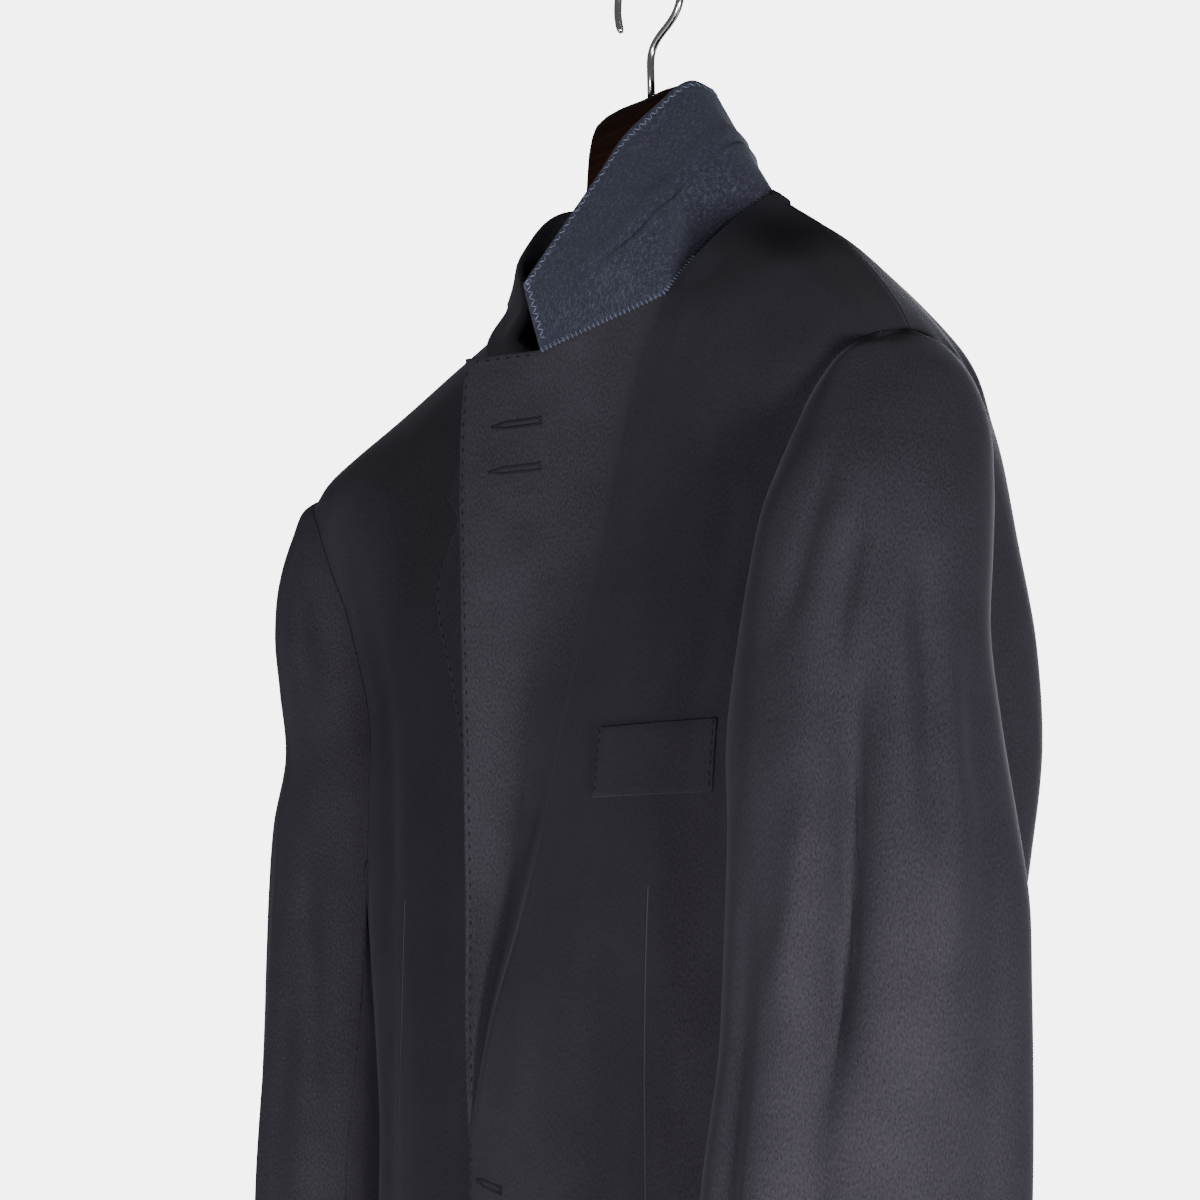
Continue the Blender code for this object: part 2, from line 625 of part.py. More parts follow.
def back_panel(side):
    neck = [(math.pi - (math.pi / 2) * k / 3, 0.021) for k in range(3)]
    top = neck + shoulder_line(side)
    outer = outer_line(side, "back")
    last = len(outer) - 1
    columns = len(top) - 1
    cells = []
    for i in range(last + 1):
        down = i / last
        inner = (math.pi, top[0][1] + (HEM - top[0][1]) * down ** 1.25)
        row = []
        for j in range(columns + 1):
            across = j / columns
            straight = blend(inner, outer[i], across)
            plain_top = blend(top[0], outer[0], across)
            fade = (1 - down) ** 3
            row.append((straight[0] + (top[j][0] - plain_top[0]) * fade,
                        straight[1] + (top[j][1] - plain_top[1]) * fade))
        cells.append(row)
    grid, normals = body_grid(side, cells)
    return [(grid, normals, ("top", "first", "last"))]


def side_panel(side):
    front = seam_down(side, "front", LOW_STEPS)
    back = seam_down(side, "back", LOW_STEPS)
    cells = [[armhole(side, "under", row) for row in range(UNDERARM_STEPS + 1)]]
    for i in range(LOW_STEPS):
        row = []
        for j in range(UNDERARM_STEPS + 1):
            top = cells[0][j]
            edge = blend(front[i], back[i], j / UNDERARM_STEPS)
            low = top[1] + (HEM - top[1]) * (i + 1) / LOW_STEPS
            row.append((edge[0], low if 0 < j < UNDERARM_STEPS else edge[1]))
        cells.append(row)
    grid, normals = body_grid(side, cells)
    return [(grid, normals, ("top", "first", "last"))]


def tube_middle(side, point):
    cx, cy = sleeve_middle(side, point[2] - NECK_LEVEL)
    return placed(side * cx, cy, point[2] - NECK_LEVEL)


def sleeve_panels(side):
    tube = Tube(side)
    front = [sleeve_angle(side, "front", row) for row in range(len(ARMHOLE_FRONT))]
    back = [sleeve_angle(side, "back", row) for row in range(len(ARMHOLE_BACK[side]))]
    back = [(turn if turn > 270 else turn + 360, height) for turn, height in back]
    total = len(front) - 1 + SLEEVE_STEPS
    hind_steps = total - HIND_SEAM

    def down(turn, start, steps):
        return [(turn, start + (CUFF - start) * (k + 1) / steps) for k in range(steps)]

    first = front + down(*front[-1], SLEEVE_STEPS)
    last = back[:HIND_SEAM + 1] + down(*back[HIND_SEAM], hind_steps)
    cells = [[blend(first[i], last[i], j / SLEEVE_COLUMNS) for j in range(SLEEVE_COLUMNS + 1)]
             for i in range(total + 1)]
    cells[0] = [first[0]] * (SLEEVE_COLUMNS + 1)
    grid = np.array([[tube.point(*cell) for cell in row] for row in cells])
    normals = grid_normals(grid, lambda point: point - tube_middle(side, point))
    top = [(grid, normals, ("top", "first", "last"))]

    under = list(back[HIND_SEAM:])
    for row in range(UNDERARM_STEPS - 1, 0, -1):
        turn, height = sleeve_angle(side, "under", row)
        under.append((turn if turn > 340 else turn + 360, height))
    under.append((front[-1][0] + 360, front[-1][1]))
    ahead = hind_steps - SLEEVE_STEPS
    rows = []
    for i in range(hind_steps + 1):
        row = []
        for j, (turn, height) in enumerate(under):
            across = j / (len(under) - 1)
            down_hind = i / hind_steps
            down_front = max(i - ahead, 0) / SLEEVE_STEPS
            share = down_hind + (down_front - down_hind) * across
            even = under[0][0] + (under[-1][0] - under[0][0]) * across
            turn += (even - turn) * min(share * 3, 1.0)
            row.append(tube.point(turn, height + (CUFF - height) * share))
        rows.append(row)
    grid = np.array(rows)
    normals = grid_normals(grid, lambda point: point - tube_middle(side, point))
    for j in range(len(back) - HIND_SEAM, len(under)):
        row = len(under) - 1 - j
        angle, level = armhole(side, "under", min(row, UNDERARM_STEPS))
        outside = body_normal(side, angle, level)
        if np.dot(outside, normals[0, j]) <= 0.0:
            grid[0, j] += outside * SEAM
    return top, [(grid, normals, ("top", "first", "last"))]


def collar_rows():
    # the collar's middle surface: seam, rounded crest and edge of each row
    left_seam = [body(1, body_angle(1, height, distance), height) for height, distance in LEFT_EDGE[:4]]
    left_seam[0] = body(1, math.pi / 2, LEFT_EDGE[0][0])
    notch = placed(*LEFT_NOTCH)
    seams = [notch, (notch + left_seam[3]) / 2] + left_seam[::-1]
    seams += [body(1, math.pi * part / 6, LEFT_EDGE[0][0]) for part in (4, 5, 6)]
    seams += [body(-1, math.pi * part / 6, LEFT_EDGE[0][0]) for part in (5, 4, 3)]
    seams += [right_point(height, distance, 0.0)[0] for height, distance in RIGHT_EDGE[1:3]]
    near = np.mean((RIGHT_EDGE[2], RIGHT_EDGE[3]), axis=0)
    seams.append(right_point(near[0], near[1], 0.0015)[0])
    plain = len(seams)
    _, _, flap, flap_normals = rolled_lapel()
    away = []
    for column in (1, 2, 3, 4, 6):
        seams.append(flap[0, column] - flap_normals[0, column] * WALL * 0.2)
        along = flap[0, min(column + 1, 6)] - flap[0, max(column - 1, 0)]
        along = along / np.linalg.norm(along)
        off = flap[0, column] - flap[1, column] if column < 6 else away[-1]
        away.append(off - along * np.dot(off, along))
    rows = []
    for number, (seam, (crest, edge, lift)) in enumerate(zip(seams, COLLAR)):
        edge = placed(*edge) if len(edge) == 3 else right_point(*edge, lift)[0]
        crest = placed(*crest) if len(crest) == 3 else right_point(*crest, lift)[0]
        way = crest - seam if number < plain else away[number - plain]
        across = (edge - seam) / np.linalg.norm(edge - seam)
        first = seam + way / np.linalg.norm(way) * COLLAR_GAP * (1 if number < plain else 2.2)
        low = crest - across * CREST
        high = crest + across * CREST
        rows.append([first, (first + low) / 2, low, high, high + (edge - high) / 3,
                     high + (edge - high) * 2 / 3, edge])
    return np.array(rows)


def section_normals(rows):
    # each row is offset as a flat outline seen along its fold, so the layers stay parallel
    fold = np.gradient(rows[:, 2] + rows[:, 3], axis=0)
    normals = np.zeros_like(rows)
    for i, row in enumerate(rows):
        along = fold[i] / np.linalg.norm(fold[i])
        parts = np.cross(np.diff(row, axis=0), along)
        parts = parts / np.linalg.norm(parts, axis=1, keepdims=True)
        for j in range(len(row)):
            one = parts[max(j - 1, 0)]
            two = parts[min(j, len(parts) - 1)]
            normals[i, j] = (one + two) / max(1 + np.dot(one, two), 0.45)
    if np.dot(normals[8, 5], rows[8, 5] - placed(0.0, 0.0, 0.05)) < 0:
        normals = -normals
    return normals


def raised(side, corners, columns, rows, lift):
    # a small grid on the body between four corners given as (distance, height)
    grid = np.zeros((rows + 1, columns + 1, 3))
    normals = np.zeros((rows + 1, columns + 1, 3))
    for i in range(rows + 1):
        for j in range(columns + 1):
            left = blend(corners[0], corners[2], i / rows)
            right = blend(corners[1], corners[3], i / rows)
            distance, height = blend(left, right, j / columns)
            angle = body_angle(side, height, distance)
            point = body(side, angle, height)
            normal = body_normal(side, angle, height)
            grid[i, j] = point + normal * lift
            normals[i, j] = normal
    return grid, normals


def disc(name, centre, normal, radius, thickness, material):
    mesh_data = bmesh.new()
    bmesh.ops.create_cone(mesh_data, cap_ends=True, cap_tris=True, segments=20, radius1=radius,
                          radius2=radius * 0.86, depth=thickness)
    turn = Vector((0, 0, 1)).rotation_difference(Vector(normal))
    bmesh.ops.transform(mesh_data, matrix=turn.to_matrix().to_4x4(), verts=mesh_data.verts)
    bmesh.ops.translate(mesh_data, vec=Vector(centre), verts=mesh_data.verts)
    bmesh.ops.recalc_face_normals(mesh_data, faces=mesh_data.faces[:])
    mesh = bpy.data.meshes.new(name)
    mesh_data.to_mesh(mesh)
    mesh_data.free()
    return keep(name, mesh, material)


def ridge(x):
    # where the hanger's top runs at this distance from the middle, just under the shoulder seam
    side = 1 if x >= 0 else -1
    low, high = BODY["height"][6], BODY["height"][0]
    for _ in range(40):
        middle = (low + high) / 2
        if body_row("half_width", middle, side) > abs(x):
            low = middle
        else:
            high = middle
    lean = body_normal(side, math.pi / 2, low)[2]
    return body(side, math.pi / 2, low) - np.array((0.0, 0.0, (WALL + 0.0006) / max(lean, 0.3)))


def hanger_section(x):
    # middle, half thickness, top and bottom of the hanger at this distance
    shape = HANGER
    away = abs(x)
    crown = ridge(max(away, 0.081) * (1 if x >= 0 else -1))
    arm_top = crown[2]
    out = ramp(away, 0.03, 0.10)
    middle = crown[1] * out
    thick = shape["neck_thick"] + (shape["arm_thin"] - shape["neck_thick"]) * out
    thick += (shape["arm_thick"] - shape["arm_thin"]) * ramp(away, 0.10, 0.20)
    bottom = arm_top - shape["arm_low"] + 0.010 * ramp(away, 0.05, 0.20)
    reach = away * 1.06 if x > 0 else away
    neck_top = NECK_LEVEL + smooth([row[0] for row in NECK_LINE], [row[1] for row in NECK_LINE],
                                   min(reach, NECK_LINE[-1][0]))
    top = max(arm_top, neck_top) if reach < NECK_LINE[-1][0] else arm_top
    end = max(1 - ((away - shape["tip"] + 0.012) / 0.012) ** 2, 0.0) ** 0.5 if away > shape["tip"] - 0.012 else 1.0
    centre = (top + bottom) / 2
    half = (top - bottom) / 2 * max(end, 0.25)
    if away > 0.081:
        centre = top - (top - bottom) / 2
    return middle, thick * max(end, 0.3), centre + half, centre - half


def inside_cloth(x, y, z):
    # keeps a point of the hanger's arm between the front and the back
    side = 1 if x >= 0 else -1
    height = z - NECK_LEVEL
    if height > BODY["height"][0] or abs(x) > body_row("half_width", height, side):
        return y
    angle = body_angle(side, height, x)
    front = body(side, angle, height)[1] + ARM_CLEAR
    back = body(side, math.pi - angle, height)[1] - ARM_CLEAR
    if front > back:
        return (front + back) / 2
    return min(max(y, front), back)


def hanger_body(material):
    shoulder = [body(side, angle, height) for side in (-1, 1) for angle, height in shoulder_line(side)]
    arm = sorted(point[0] for point in shoulder if 0.081 < abs(point[0]) < HANGER["tip"] - 0.003)
    near = [0.012, 0.024, 0.032, 0.037, 0.0395, 0.0405, 0.0415, 0.0435, 0.047, 0.052, 0.058, 0.066,
            0.076, HANGER["tip"] - 0.006, HANGER["tip"] - 0.002, HANGER["tip"]]
    stations = sorted(arm + near + [-x for x in near] + [0.0])
    mesh_data = bmesh.new()
    rings = []
    around = 16
    for x in stations:
        middle, thick, top, bottom = hanger_section(x)
        centre = (top + bottom) / 2
        half = (top - bottom) / 2
        ring = []
        power = 0.6 + 0.4 * ramp(abs(x), 0.05, 0.09)
        for k in range(around):
            angle = 2 * math.pi * k / around
            y = middle + thick * signed_power(math.cos(angle), power)
            z = centre + half * signed_power(math.sin(angle), power)
            if abs(x) > 0.075:
                room = 0.0012 + (0.75 if x > 0 else 0.50) * (top - z)
                y = min(max(inside_cloth(x, y, z), middle - room), middle + room)
            ring.append(mesh_data.verts.new((x, y, z)))
        rings.append(ring)
    for one, two in zip(rings, rings[1:]):
        for k in range(around):
            mesh_data.faces.new((one[k], one[(k + 1) % around], two[(k + 1) % around], two[k]))
    mesh_data.faces.new(rings[0])
    mesh_data.faces.new(list(reversed(rings[-1])))
    bmesh.ops.triangulate(mesh_data, faces=mesh_data.faces[:])
    bmesh.ops.recalc_face_normals(mesh_data, faces=mesh_data.faces[:])
    mesh = bpy.data.meshes.new("hanger_body")
    mesh_data.to_mesh(mesh)
    mesh_data.free()
    for polygon in mesh.polygons:
        polygon.use_smooth = True
    mesh.set_sharp_from_angle(angle=math.radians(50))
    return keep("hanger_body", mesh, material)


def hanger_hook(material):
    reach = HOOK_RADIUS + HOOK_WIRE
    points = []
    for k in range(25):
        angle = math.radians(205 - 225 * k / 24)
        points.append((reach * math.cos(angle), reach * math.sin(angle) - HOOK_RADIUS))
    start = np.array(points[-1])
    end = np.array((0.0, -0.058))
    out = np.array((math.sin(math.radians(-20)), -math.cos(math.radians(-20)))) * 0.014
    back = end + np.array((0.0, 0.016))
    for k in range(1, 11):
        t = k / 10
        points.append(tuple(start * (1 - t) ** 3 + 3 * (start + out) * t * (1 - t) ** 2
                            + 3 * back * t * t * (1 - t) + end * t ** 3))
    foot = NECK_LEVEL + HANGER["neck_top"] + SEAM
    points.append((0.0, foot))
    curve = bpy.data.curves.new("hanger_hook", "CURVE")
    curve.dimensions = "3D"
    spline = curve.splines.new("POLY")
    spline.points.add(len(points) - 1)
    for place, (x, z) in zip(spline.points, points):
        place.co = (x, 0.0, z, 1.0)
    curve.bevel_depth = HOOK_WIRE
    curve.bevel_resolution = 4
    curve.use_fill_caps = True
    hook = bpy.data.objects.new("hanger_hook", curve)
    curve.materials.append(material)
    bpy.data.collections["Blazer on a hanger"].objects.link(hook)
    return hook


def build():
    twill = (0.022, 0.020, 0.027)
    felt = (0.026, 0.028, 0.042)
    pieces = {"front_left": left_front(), "front_right": right_front()}
    for side, word in ((1, "left"), (-1, "right")):
        pieces["back_" + word] = back_panel(side)
        pieces["side_" + word] = side_panel(side)
        top, under = sleeve_panels(side)
        pieces["top_sleeve_" + word] = top
        pieces["under_sleeve_" + word] = under
    share_normals(pieces)
    for name, grids in pieces.items():
        walls = [(pull_in(grid, sides), normals) for grid, normals, sides in grids]
        cloth(name, walls, finish(name, twill, 0.8))

    grid, normals = right_flap(2 * ROLL_RADIUS + WALL + SEAM, 4)
    cloth("facing_right", ((grid[:-1], normals[:-1]),), finish("facing_right", twill, 0.8), out=WALL)

    collar = collar_rows()
    normals = section_normals(collar)
    cloth("under_collar", ((collar, normals),), finish("under_collar", felt, 0.95),
          out=COLLAR_WALL + SEAM / 2, depth=COLLAR_WALL)
    cloth("top_collar", ((collar, normals),), finish("top_collar", twill, 0.8),
          out=-SEAM / 2, depth=COLLAR_WALL)

    grid, normals = raised(1, WELT, 7, 2, ON_CLOTH)
    cloth("breast_welt", ((grid, normals),), finish("breast_welt", twill, 0.8), out=WALL)
    for side, word in ((1, "left"), (-1, "right")):
        corners = [(side * x, height) for x, height in FLAP]
        grid, normals = raised(side, corners, 9, 3, ON_CLOTH)
        cloth("flap_" + word, ((grid, normals),), finish("flap_" + word, twill, 0.8), out=WALL)
    for word, height in (("upper", BUTTONS["upper"]), ("lower", BUTTONS["lower"])):
        lift = BUTTONS["thick"] / 2 + SEAM
        centre, normal = right_point(height, BUTTONS["distance"], lift)
        disc("button_" + word, centre, normal, BUTTONS["radius"], BUTTONS["thick"],
             finish("button_" + word, (0.018, 0.017, 0.020), 0.4))
    hanger_body(finish("hanger_body", (0.030, 0.018, 0.014), 0.35))
    hanger_hook(finish("hanger_hook", (0.75, 0.76, 0.78), 0.18, 1.0))


for old in list(bpy.data.objects):
    bpy.data.objects.remove(old)
group = bpy.data.collections.new("Blazer on a hanger")
bpy.context.scene.collection.children.link(group)
build()
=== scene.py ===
# A single-breasted blazer on a wooden hanger: materials, fine cloth, stitching and light.
# Lengths are in metres. +X is the wearer's left, -Y the front, +Z up.
import math

import bmesh
import bpy
import numpy as np
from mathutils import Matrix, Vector, noise


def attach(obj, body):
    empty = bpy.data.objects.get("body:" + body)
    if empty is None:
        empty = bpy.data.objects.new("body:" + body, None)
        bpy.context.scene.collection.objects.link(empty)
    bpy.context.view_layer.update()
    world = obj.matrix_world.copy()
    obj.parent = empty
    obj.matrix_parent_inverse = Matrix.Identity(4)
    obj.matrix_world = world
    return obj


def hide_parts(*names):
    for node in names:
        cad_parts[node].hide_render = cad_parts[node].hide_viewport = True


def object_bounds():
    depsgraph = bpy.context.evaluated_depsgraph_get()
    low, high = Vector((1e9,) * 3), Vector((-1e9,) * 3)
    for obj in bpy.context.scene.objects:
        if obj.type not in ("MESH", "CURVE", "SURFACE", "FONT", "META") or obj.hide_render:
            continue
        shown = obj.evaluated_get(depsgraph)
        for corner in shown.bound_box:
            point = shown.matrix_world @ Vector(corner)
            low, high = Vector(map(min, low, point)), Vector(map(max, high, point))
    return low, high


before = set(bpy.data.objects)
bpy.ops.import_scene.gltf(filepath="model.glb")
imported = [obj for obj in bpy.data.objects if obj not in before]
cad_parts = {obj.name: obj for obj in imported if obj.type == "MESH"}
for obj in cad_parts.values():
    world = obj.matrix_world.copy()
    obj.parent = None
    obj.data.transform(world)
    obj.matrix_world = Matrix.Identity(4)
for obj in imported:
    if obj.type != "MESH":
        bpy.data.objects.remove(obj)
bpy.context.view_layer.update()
print("frame loaded")

# Camera: its place and where it looks, in degrees.
cameraView = {
    "place": (1.042, -0.765, -0.470),
    "azimuth": 55.0,
    "pitch": 6.9,
    "roll": -1.1,
    "lens": 84.0,
    "sensor": 36.0,
    "farthest": 50.0,
}


def linked(name, data):
    # a new object in the scene
    thing = bpy.data.objects.new(name, data)
    bpy.context.scene.collection.objects.link(thing)
    return thing


def makeCamera(view):
    data = bpy.data.cameras.new("camera")
    data.lens = view["lens"]
    data.sensor_width = view["sensor"]
    data.clip_end = view["farthest"]
    camera = linked("camera", data)
    turn, pitch, roll = (math.radians(view[name]) for name in ("azimuth", "pitch", "roll"))
    ahead = Vector((-math.sin(turn) * math.cos(pitch), math.cos(turn) * math.cos(pitch),
                    math.sin(pitch)))
    right = Vector((math.cos(turn), math.sin(turn), 0.0))
    up = right.cross(ahead)
    side = right * math.cos(roll) + up * math.sin(roll)
    top = up * math.cos(roll) - right * math.sin(roll)
    for row in range(3):
        for column, value in enumerate((side[row], top[row], -ahead[row], view["place"][row])):
            camera.matrix_world[row][column] = value
    bpy.context.scene.camera = camera


makeCamera(cameraView)
print("camera placed")

# driving dimensions
wall = 0.0016  # thickness of one cloth wall
seamGap = 0.0003  # gap between neighbouring pieces
neckLevel = -0.158  # height of the shoulder line's datum below the hook
neckSetback = -0.008  # the garment's middle stands this far in front of the hook
shoulderBack = 0.020  # the shoulder line stands this far behind the middle
bow = 1.0  # forward bow of the shoulders, metres of Y per square metre of X
sectionPower = 2.2  # exponent of the body's rounded sections
shoulderEnd = -0.075  # heights are measured from the datum
underarm = -0.310
cuffHeight = -0.705
hemHeight = -0.715
tiny = 1e-9

# Body sections: half width, depth of the front and back from the shoulder arc, and how far
# the front leans round towards the wearer's right.
bodyTable = {
    "height": (0.021, 0.006, -0.007, -0.020, -0.036, -0.050, -0.075, -0.086, -0.101, -0.121,
               -0.143, -0.166, -0.200, -0.247, -0.310, -0.400, -0.500, -0.600, -0.720),
    "halfWidth": (0.080, 0.106, 0.129, 0.152, 0.176, 0.195, 0.224, 0.233, 0.234, 0.231,
                  0.226, 0.222, 0.220, 0.220, 0.216, 0.205, 0.208, 0.216, 0.222),
    "front": (0.020, 0.032, 0.044, 0.059, 0.074, 0.078, 0.080, 0.081, 0.081, 0.082,
              0.082, 0.084, 0.087, 0.092, 0.099, 0.106, 0.108, 0.108, 0.107),
    "back": (0.028, 0.040, 0.049, 0.056, 0.065, 0.070, 0.075, 0.077, 0.080, 0.084,
             0.088, 0.091, 0.094, 0.096, 0.096, 0.090, 0.093, 0.099, 0.104),
    "turn": (0.000, -0.004, -0.007, -0.009, -0.011, -0.013, -0.018, -0.022, -0.033, -0.048,
             -0.068, -0.088, -0.122, -0.132, -0.137, -0.137, -0.137, -0.137, -0.137),
}

# Sleeve sections: middle of the tube and its two half widths.
sleeveTable = {
    "height": (-0.075, -0.086, -0.101, -0.121, -0.143, -0.175, -0.208, -0.247, -0.300, -0.340,
               -0.414, -0.500, -0.600, -0.705),
    "x": (0.209, 0.210, 0.213, 0.219, 0.223, 0.226, 0.229, 0.236, 0.243, 0.244,
          0.244, 0.246, 0.244, 0.242),
    "y": (-0.026, -0.031, -0.033, -0.0345, -0.037, -0.0375, -0.0365, -0.040, -0.0417, -0.044,
          -0.0525, -0.056, -0.065, -0.075),
    "wide": (0.015, 0.032, 0.040, 0.044, 0.046, 0.0475, 0.0487, 0.052, 0.0562, 0.0575,
             0.061, 0.056, 0.051, 0.046),
    "narrow": (0.015, 0.032, 0.040, 0.044, 0.047, 0.050, 0.052, 0.055, 0.056, 0.055,
               0.050, 0.050, 0.047, 0.043),
}
sleeveLean = math.radians(49.5)  # direction of the wider half width, from +X
rightShare = {  # the right shoulder slopes more and its front lies flatter
    "height": (0.021, 0.006, -0.007, -0.020, -0.036, -0.050, -0.075, -0.100, -0.200, -0.720),
    "halfWidth": (1.000, 0.940, 0.890, 0.880, 0.895, 0.930, 0.990, 1.000, 1.000, 1.000),
    "front": (1.000, 0.900, 0.820, 0.790, 0.800, 0.840, 0.930, 0.970, 0.960, 0.940),
}
# The back is flatter just behind the shoulder seams: extra exponent, and the heights between
# which it fades out.
backSlack = {"power": 0.60, "from": 0.02, "to": 0.10}
# The left front stands forward over the right one: distances and heights between which it does.
proudTable = {"depth": 0.009, "inner": 0.01, "outer": 0.11, "from": 0.27, "to": 0.37}
turnFade = (60, 120)  # degrees between which the front's turn fades out
# The body's side gives way to the hanging sleeve, with this gap left.
pressTable = {"gap": 0.006, "from": 0.19, "to": 0.265, "inner": 0.10, "soft": 0.004}

# The armhole's two sides: distance from the middle at each height.
armholeFront = ((-0.075, 0.2240), (-0.080, 0.2230), (-0.087, 0.2195), (-0.101, 0.2100),
                (-0.121, 0.2000), (-0.143, 0.1930), (-0.166, 0.1895), (-0.200, 0.1870),
                (-0.236, 0.1880), (-0.268, 0.1920))
armholeBack = {
    1: ((-0.075, 0.2240), (-0.082, 0.2260), (-0.096, 0.2260), (-0.118, 0.2230),
        (-0.144, 0.2200), (-0.175, 0.2170), (-0.208, 0.2150), (-0.245, 0.2130)),
    -1: ((-0.075, 0.2218), (-0.082, 0.2245), (-0.096, 0.2225), (-0.118, 0.2170),
         (-0.144, 0.2100), (-0.175, 0.2040), (-0.208, 0.2000), (-0.245, 0.1985)),
}
underarmSteps = 6
lowSteps = 10  # rows from the armhole to the hem
sleeveSteps = 12  # rows from the armhole's lower front to the cuff
sleeveColumns = 12
hindSeam = 7  # row of armholeBack where the sleeve's hind seam starts
# How far from the armhole the sleeve is drawn towards it, above and under the arm, the heights
# between which that changes, and the length once round the sleeve.
pullTable = {"reach": 0.045, "lowReach": 0.022, "from": 0.22, "to": 0.27, "round": 0.36}
# The seam under the arm: how pointed its dip is and how far it shifts to the back.
underarmCurve = {"power": 1.2, "shift": 0.05}

# Drape of the back behind each armhole: where it is, how wide, how deep and which way it goes.
backDrape = {"angle": math.radians(124), "spread": math.radians(17), "height": -0.215,
             "reach": 0.100, "depth": 0.0195, "rightShare": 0.25, "way": (0.72, 0.69)}

# Fronts: the lines where each front's chest ends, from the neck to the hem, as
# (height, distance towards the wearer's left).
leftEdge = ((0.021, 0.080), (0.001, 0.0825), (-0.017, 0.0865), (-0.036, 0.092),
            (-0.065, 0.0835), (-0.095, 0.0748), (-0.130, 0.0645), (-0.170, 0.0528),
            (-0.210, 0.0411), (-0.255, 0.0279), (-0.300, 0.0147), (-0.350, 0.0001),
            (-0.398, -0.014), (-0.460, -0.014), (-0.520, -0.014), (-0.580, -0.013),
            (-0.640, -0.006), (-0.685, 0.014), (-0.708, 0.043), (hemHeight, 0.080))
rightEdge = ((0.021, -0.080), (-0.003, -0.081), (-0.027, -0.054), (-0.052, -0.022),
             (-0.088, -0.008), (-0.114, -0.002), (-0.143, 0.004), (-0.178, 0.010),
             (-0.215, 0.015), (-0.257, 0.020), (-0.301, 0.026), (-0.345, 0.031),
             (-0.392, 0.034), (-0.460, 0.034), (-0.520, 0.034), (-0.580, 0.033),
             (-0.640, 0.026), (-0.685, 0.006), (-0.708, -0.030), (hemHeight, -0.080))
lapelTop = 3  # row of the edge where the lapel starts
lapelEnd = 12  # row where its roll line meets the front edge
chestColumns = 8
# Outer edge of the left lapel, which hangs unrolled: x, y, z for the rows from lapelTop.
leftLapel = ((0.000, -0.0985, -0.053), (-0.002, -0.100, -0.078), (-0.0035, -0.1005, -0.108),
             (-0.005, -0.0998, -0.142), (-0.007, -0.0985, -0.180), (-0.008, -0.0978, -0.218),
             (-0.0085, -0.0975, -0.260), (-0.009, -0.097, -0.302), (-0.011, -0.0962, -0.350))
leftNotch = (0.0405, -0.085, -0.055)
lapelSag = (0, 0, 0, 0.001, 0.003, 0.006, 0.009, 0.009, 0.005)  # how far each row's middle sags
# Outer edge of the right lapel, rolled back on the chest: height and distance for the same rows.
rightLapel = ((-0.120, -0.0545), (-0.1475, -0.0755), (-0.162, -0.0745), (-0.186, -0.0665),
              (-0.214, -0.056), (-0.246, -0.042), (-0.282, -0.026), (-0.318, -0.008),
              (-0.355, 0.012))
rollRadius = 0.0035
# How deep the right front lies behind the left one near the middle, above and below, and the
# distances and heights between which that grows and changes.
underlapTable = {"depth": 0.012, "lowDepth": 0.007, "distance": (-0.045, 0.0),
                 "grows": (0.05, 0.12), "changes": (0.38, 0.44)}

# Collar rows from its left tip round the back to its right tip: crest of the stand, outer
# edge and lift. The right half is folded over, and a pair there is a (height, distance) on the
# chest, lifted off it.
collarTable = (
    ((0.0350, -0.0850, -0.0420), (0.0260, -0.0840, -0.0230), 0),
    ((0.0530, -0.0710, -0.0240), (0.0310, -0.0650, 0.0050), 0),
    ((0.0740, -0.0535, -0.0060), (0.0370, -0.0460, 0.0340), 0),
    ((0.0750, -0.0420, 0.0080), (0.0390, -0.0370, 0.0480), 0),
    ((0.0740, -0.0250, 0.0240), (0.0410, -0.0200, 0.0650), 0),
    ((0.0655, 0.0085, 0.0450), (0.0440, -0.0010, 0.0790), 0),
    ((0.0570, 0.0200, 0.0450), (0.0420, 0.0100, 0.0780), 0),
    ((0.0350, 0.0370, 0.0470), (0.0240, 0.0220, 0.0830), 0),
    ((0.0000, 0.0430, 0.0480), (0.0000, 0.0270, 0.0870), 0),
    ((-0.0400, 0.0400, 0.0480), (-0.0420, 0.0480, 0.0790), 0),
    ((-0.0660, 0.0280, 0.0470), (-0.0880, 0.0580, 0.0460), 0),
    ((-0.0790, 0.0090, 0.0440), (-0.1150, 0.0250, 0.0130), 0),
    ((-0.0750, -0.0170, 0.0190), (0.0000, -0.1050), 0.0060),
    ((-0.0220, -0.0470), (-0.0165, -0.0740), 0.0085),
    ((-0.0370, -0.0375), (-0.0360, -0.0640), 0.0085),
    ((-0.0465, -0.0215), (-0.0480, -0.0560), 0.0055),
    ((-0.0500, -0.0285), (-0.0560, -0.0548), 0.0072),
    ((-0.0680, -0.0375), (-0.0660, -0.0545), 0.0072),
    ((-0.0820, -0.0455), (-0.0810, -0.0560), 0.0073),
    ((-0.1125, -0.0610), (-0.1060, -0.0680), 0.0072),
)
collarWall = 0.0010
collarGap = 0.0007  # between the collar's seam edge and the panels
# The collar's seam on the right: its lift just before the rolled lapel, how far it sinks into the
# lapel in walls, and how many gaps wide it is there.
collarSeam = {"lift": 0.0015, "sink": 0.2, "gaps": 2.2}
crestHalf = 0.0028  # half the width of the crest's rounding
# Corners of the breast welt and of a hip flap: distance and height.
chestWelt = ((0.076, -0.2235), (0.172, -0.2270), (0.074, -0.2530), (0.171, -0.2560))
hipFlap = ((0.052, -0.4980), (0.170, -0.4950), (0.051, -0.5530), (0.170, -0.5500))
buttonTable = {"radius": 0.010, "thick": 0.0038, "distance": 0.014, "upper": -0.415,
               "lower": -0.520}

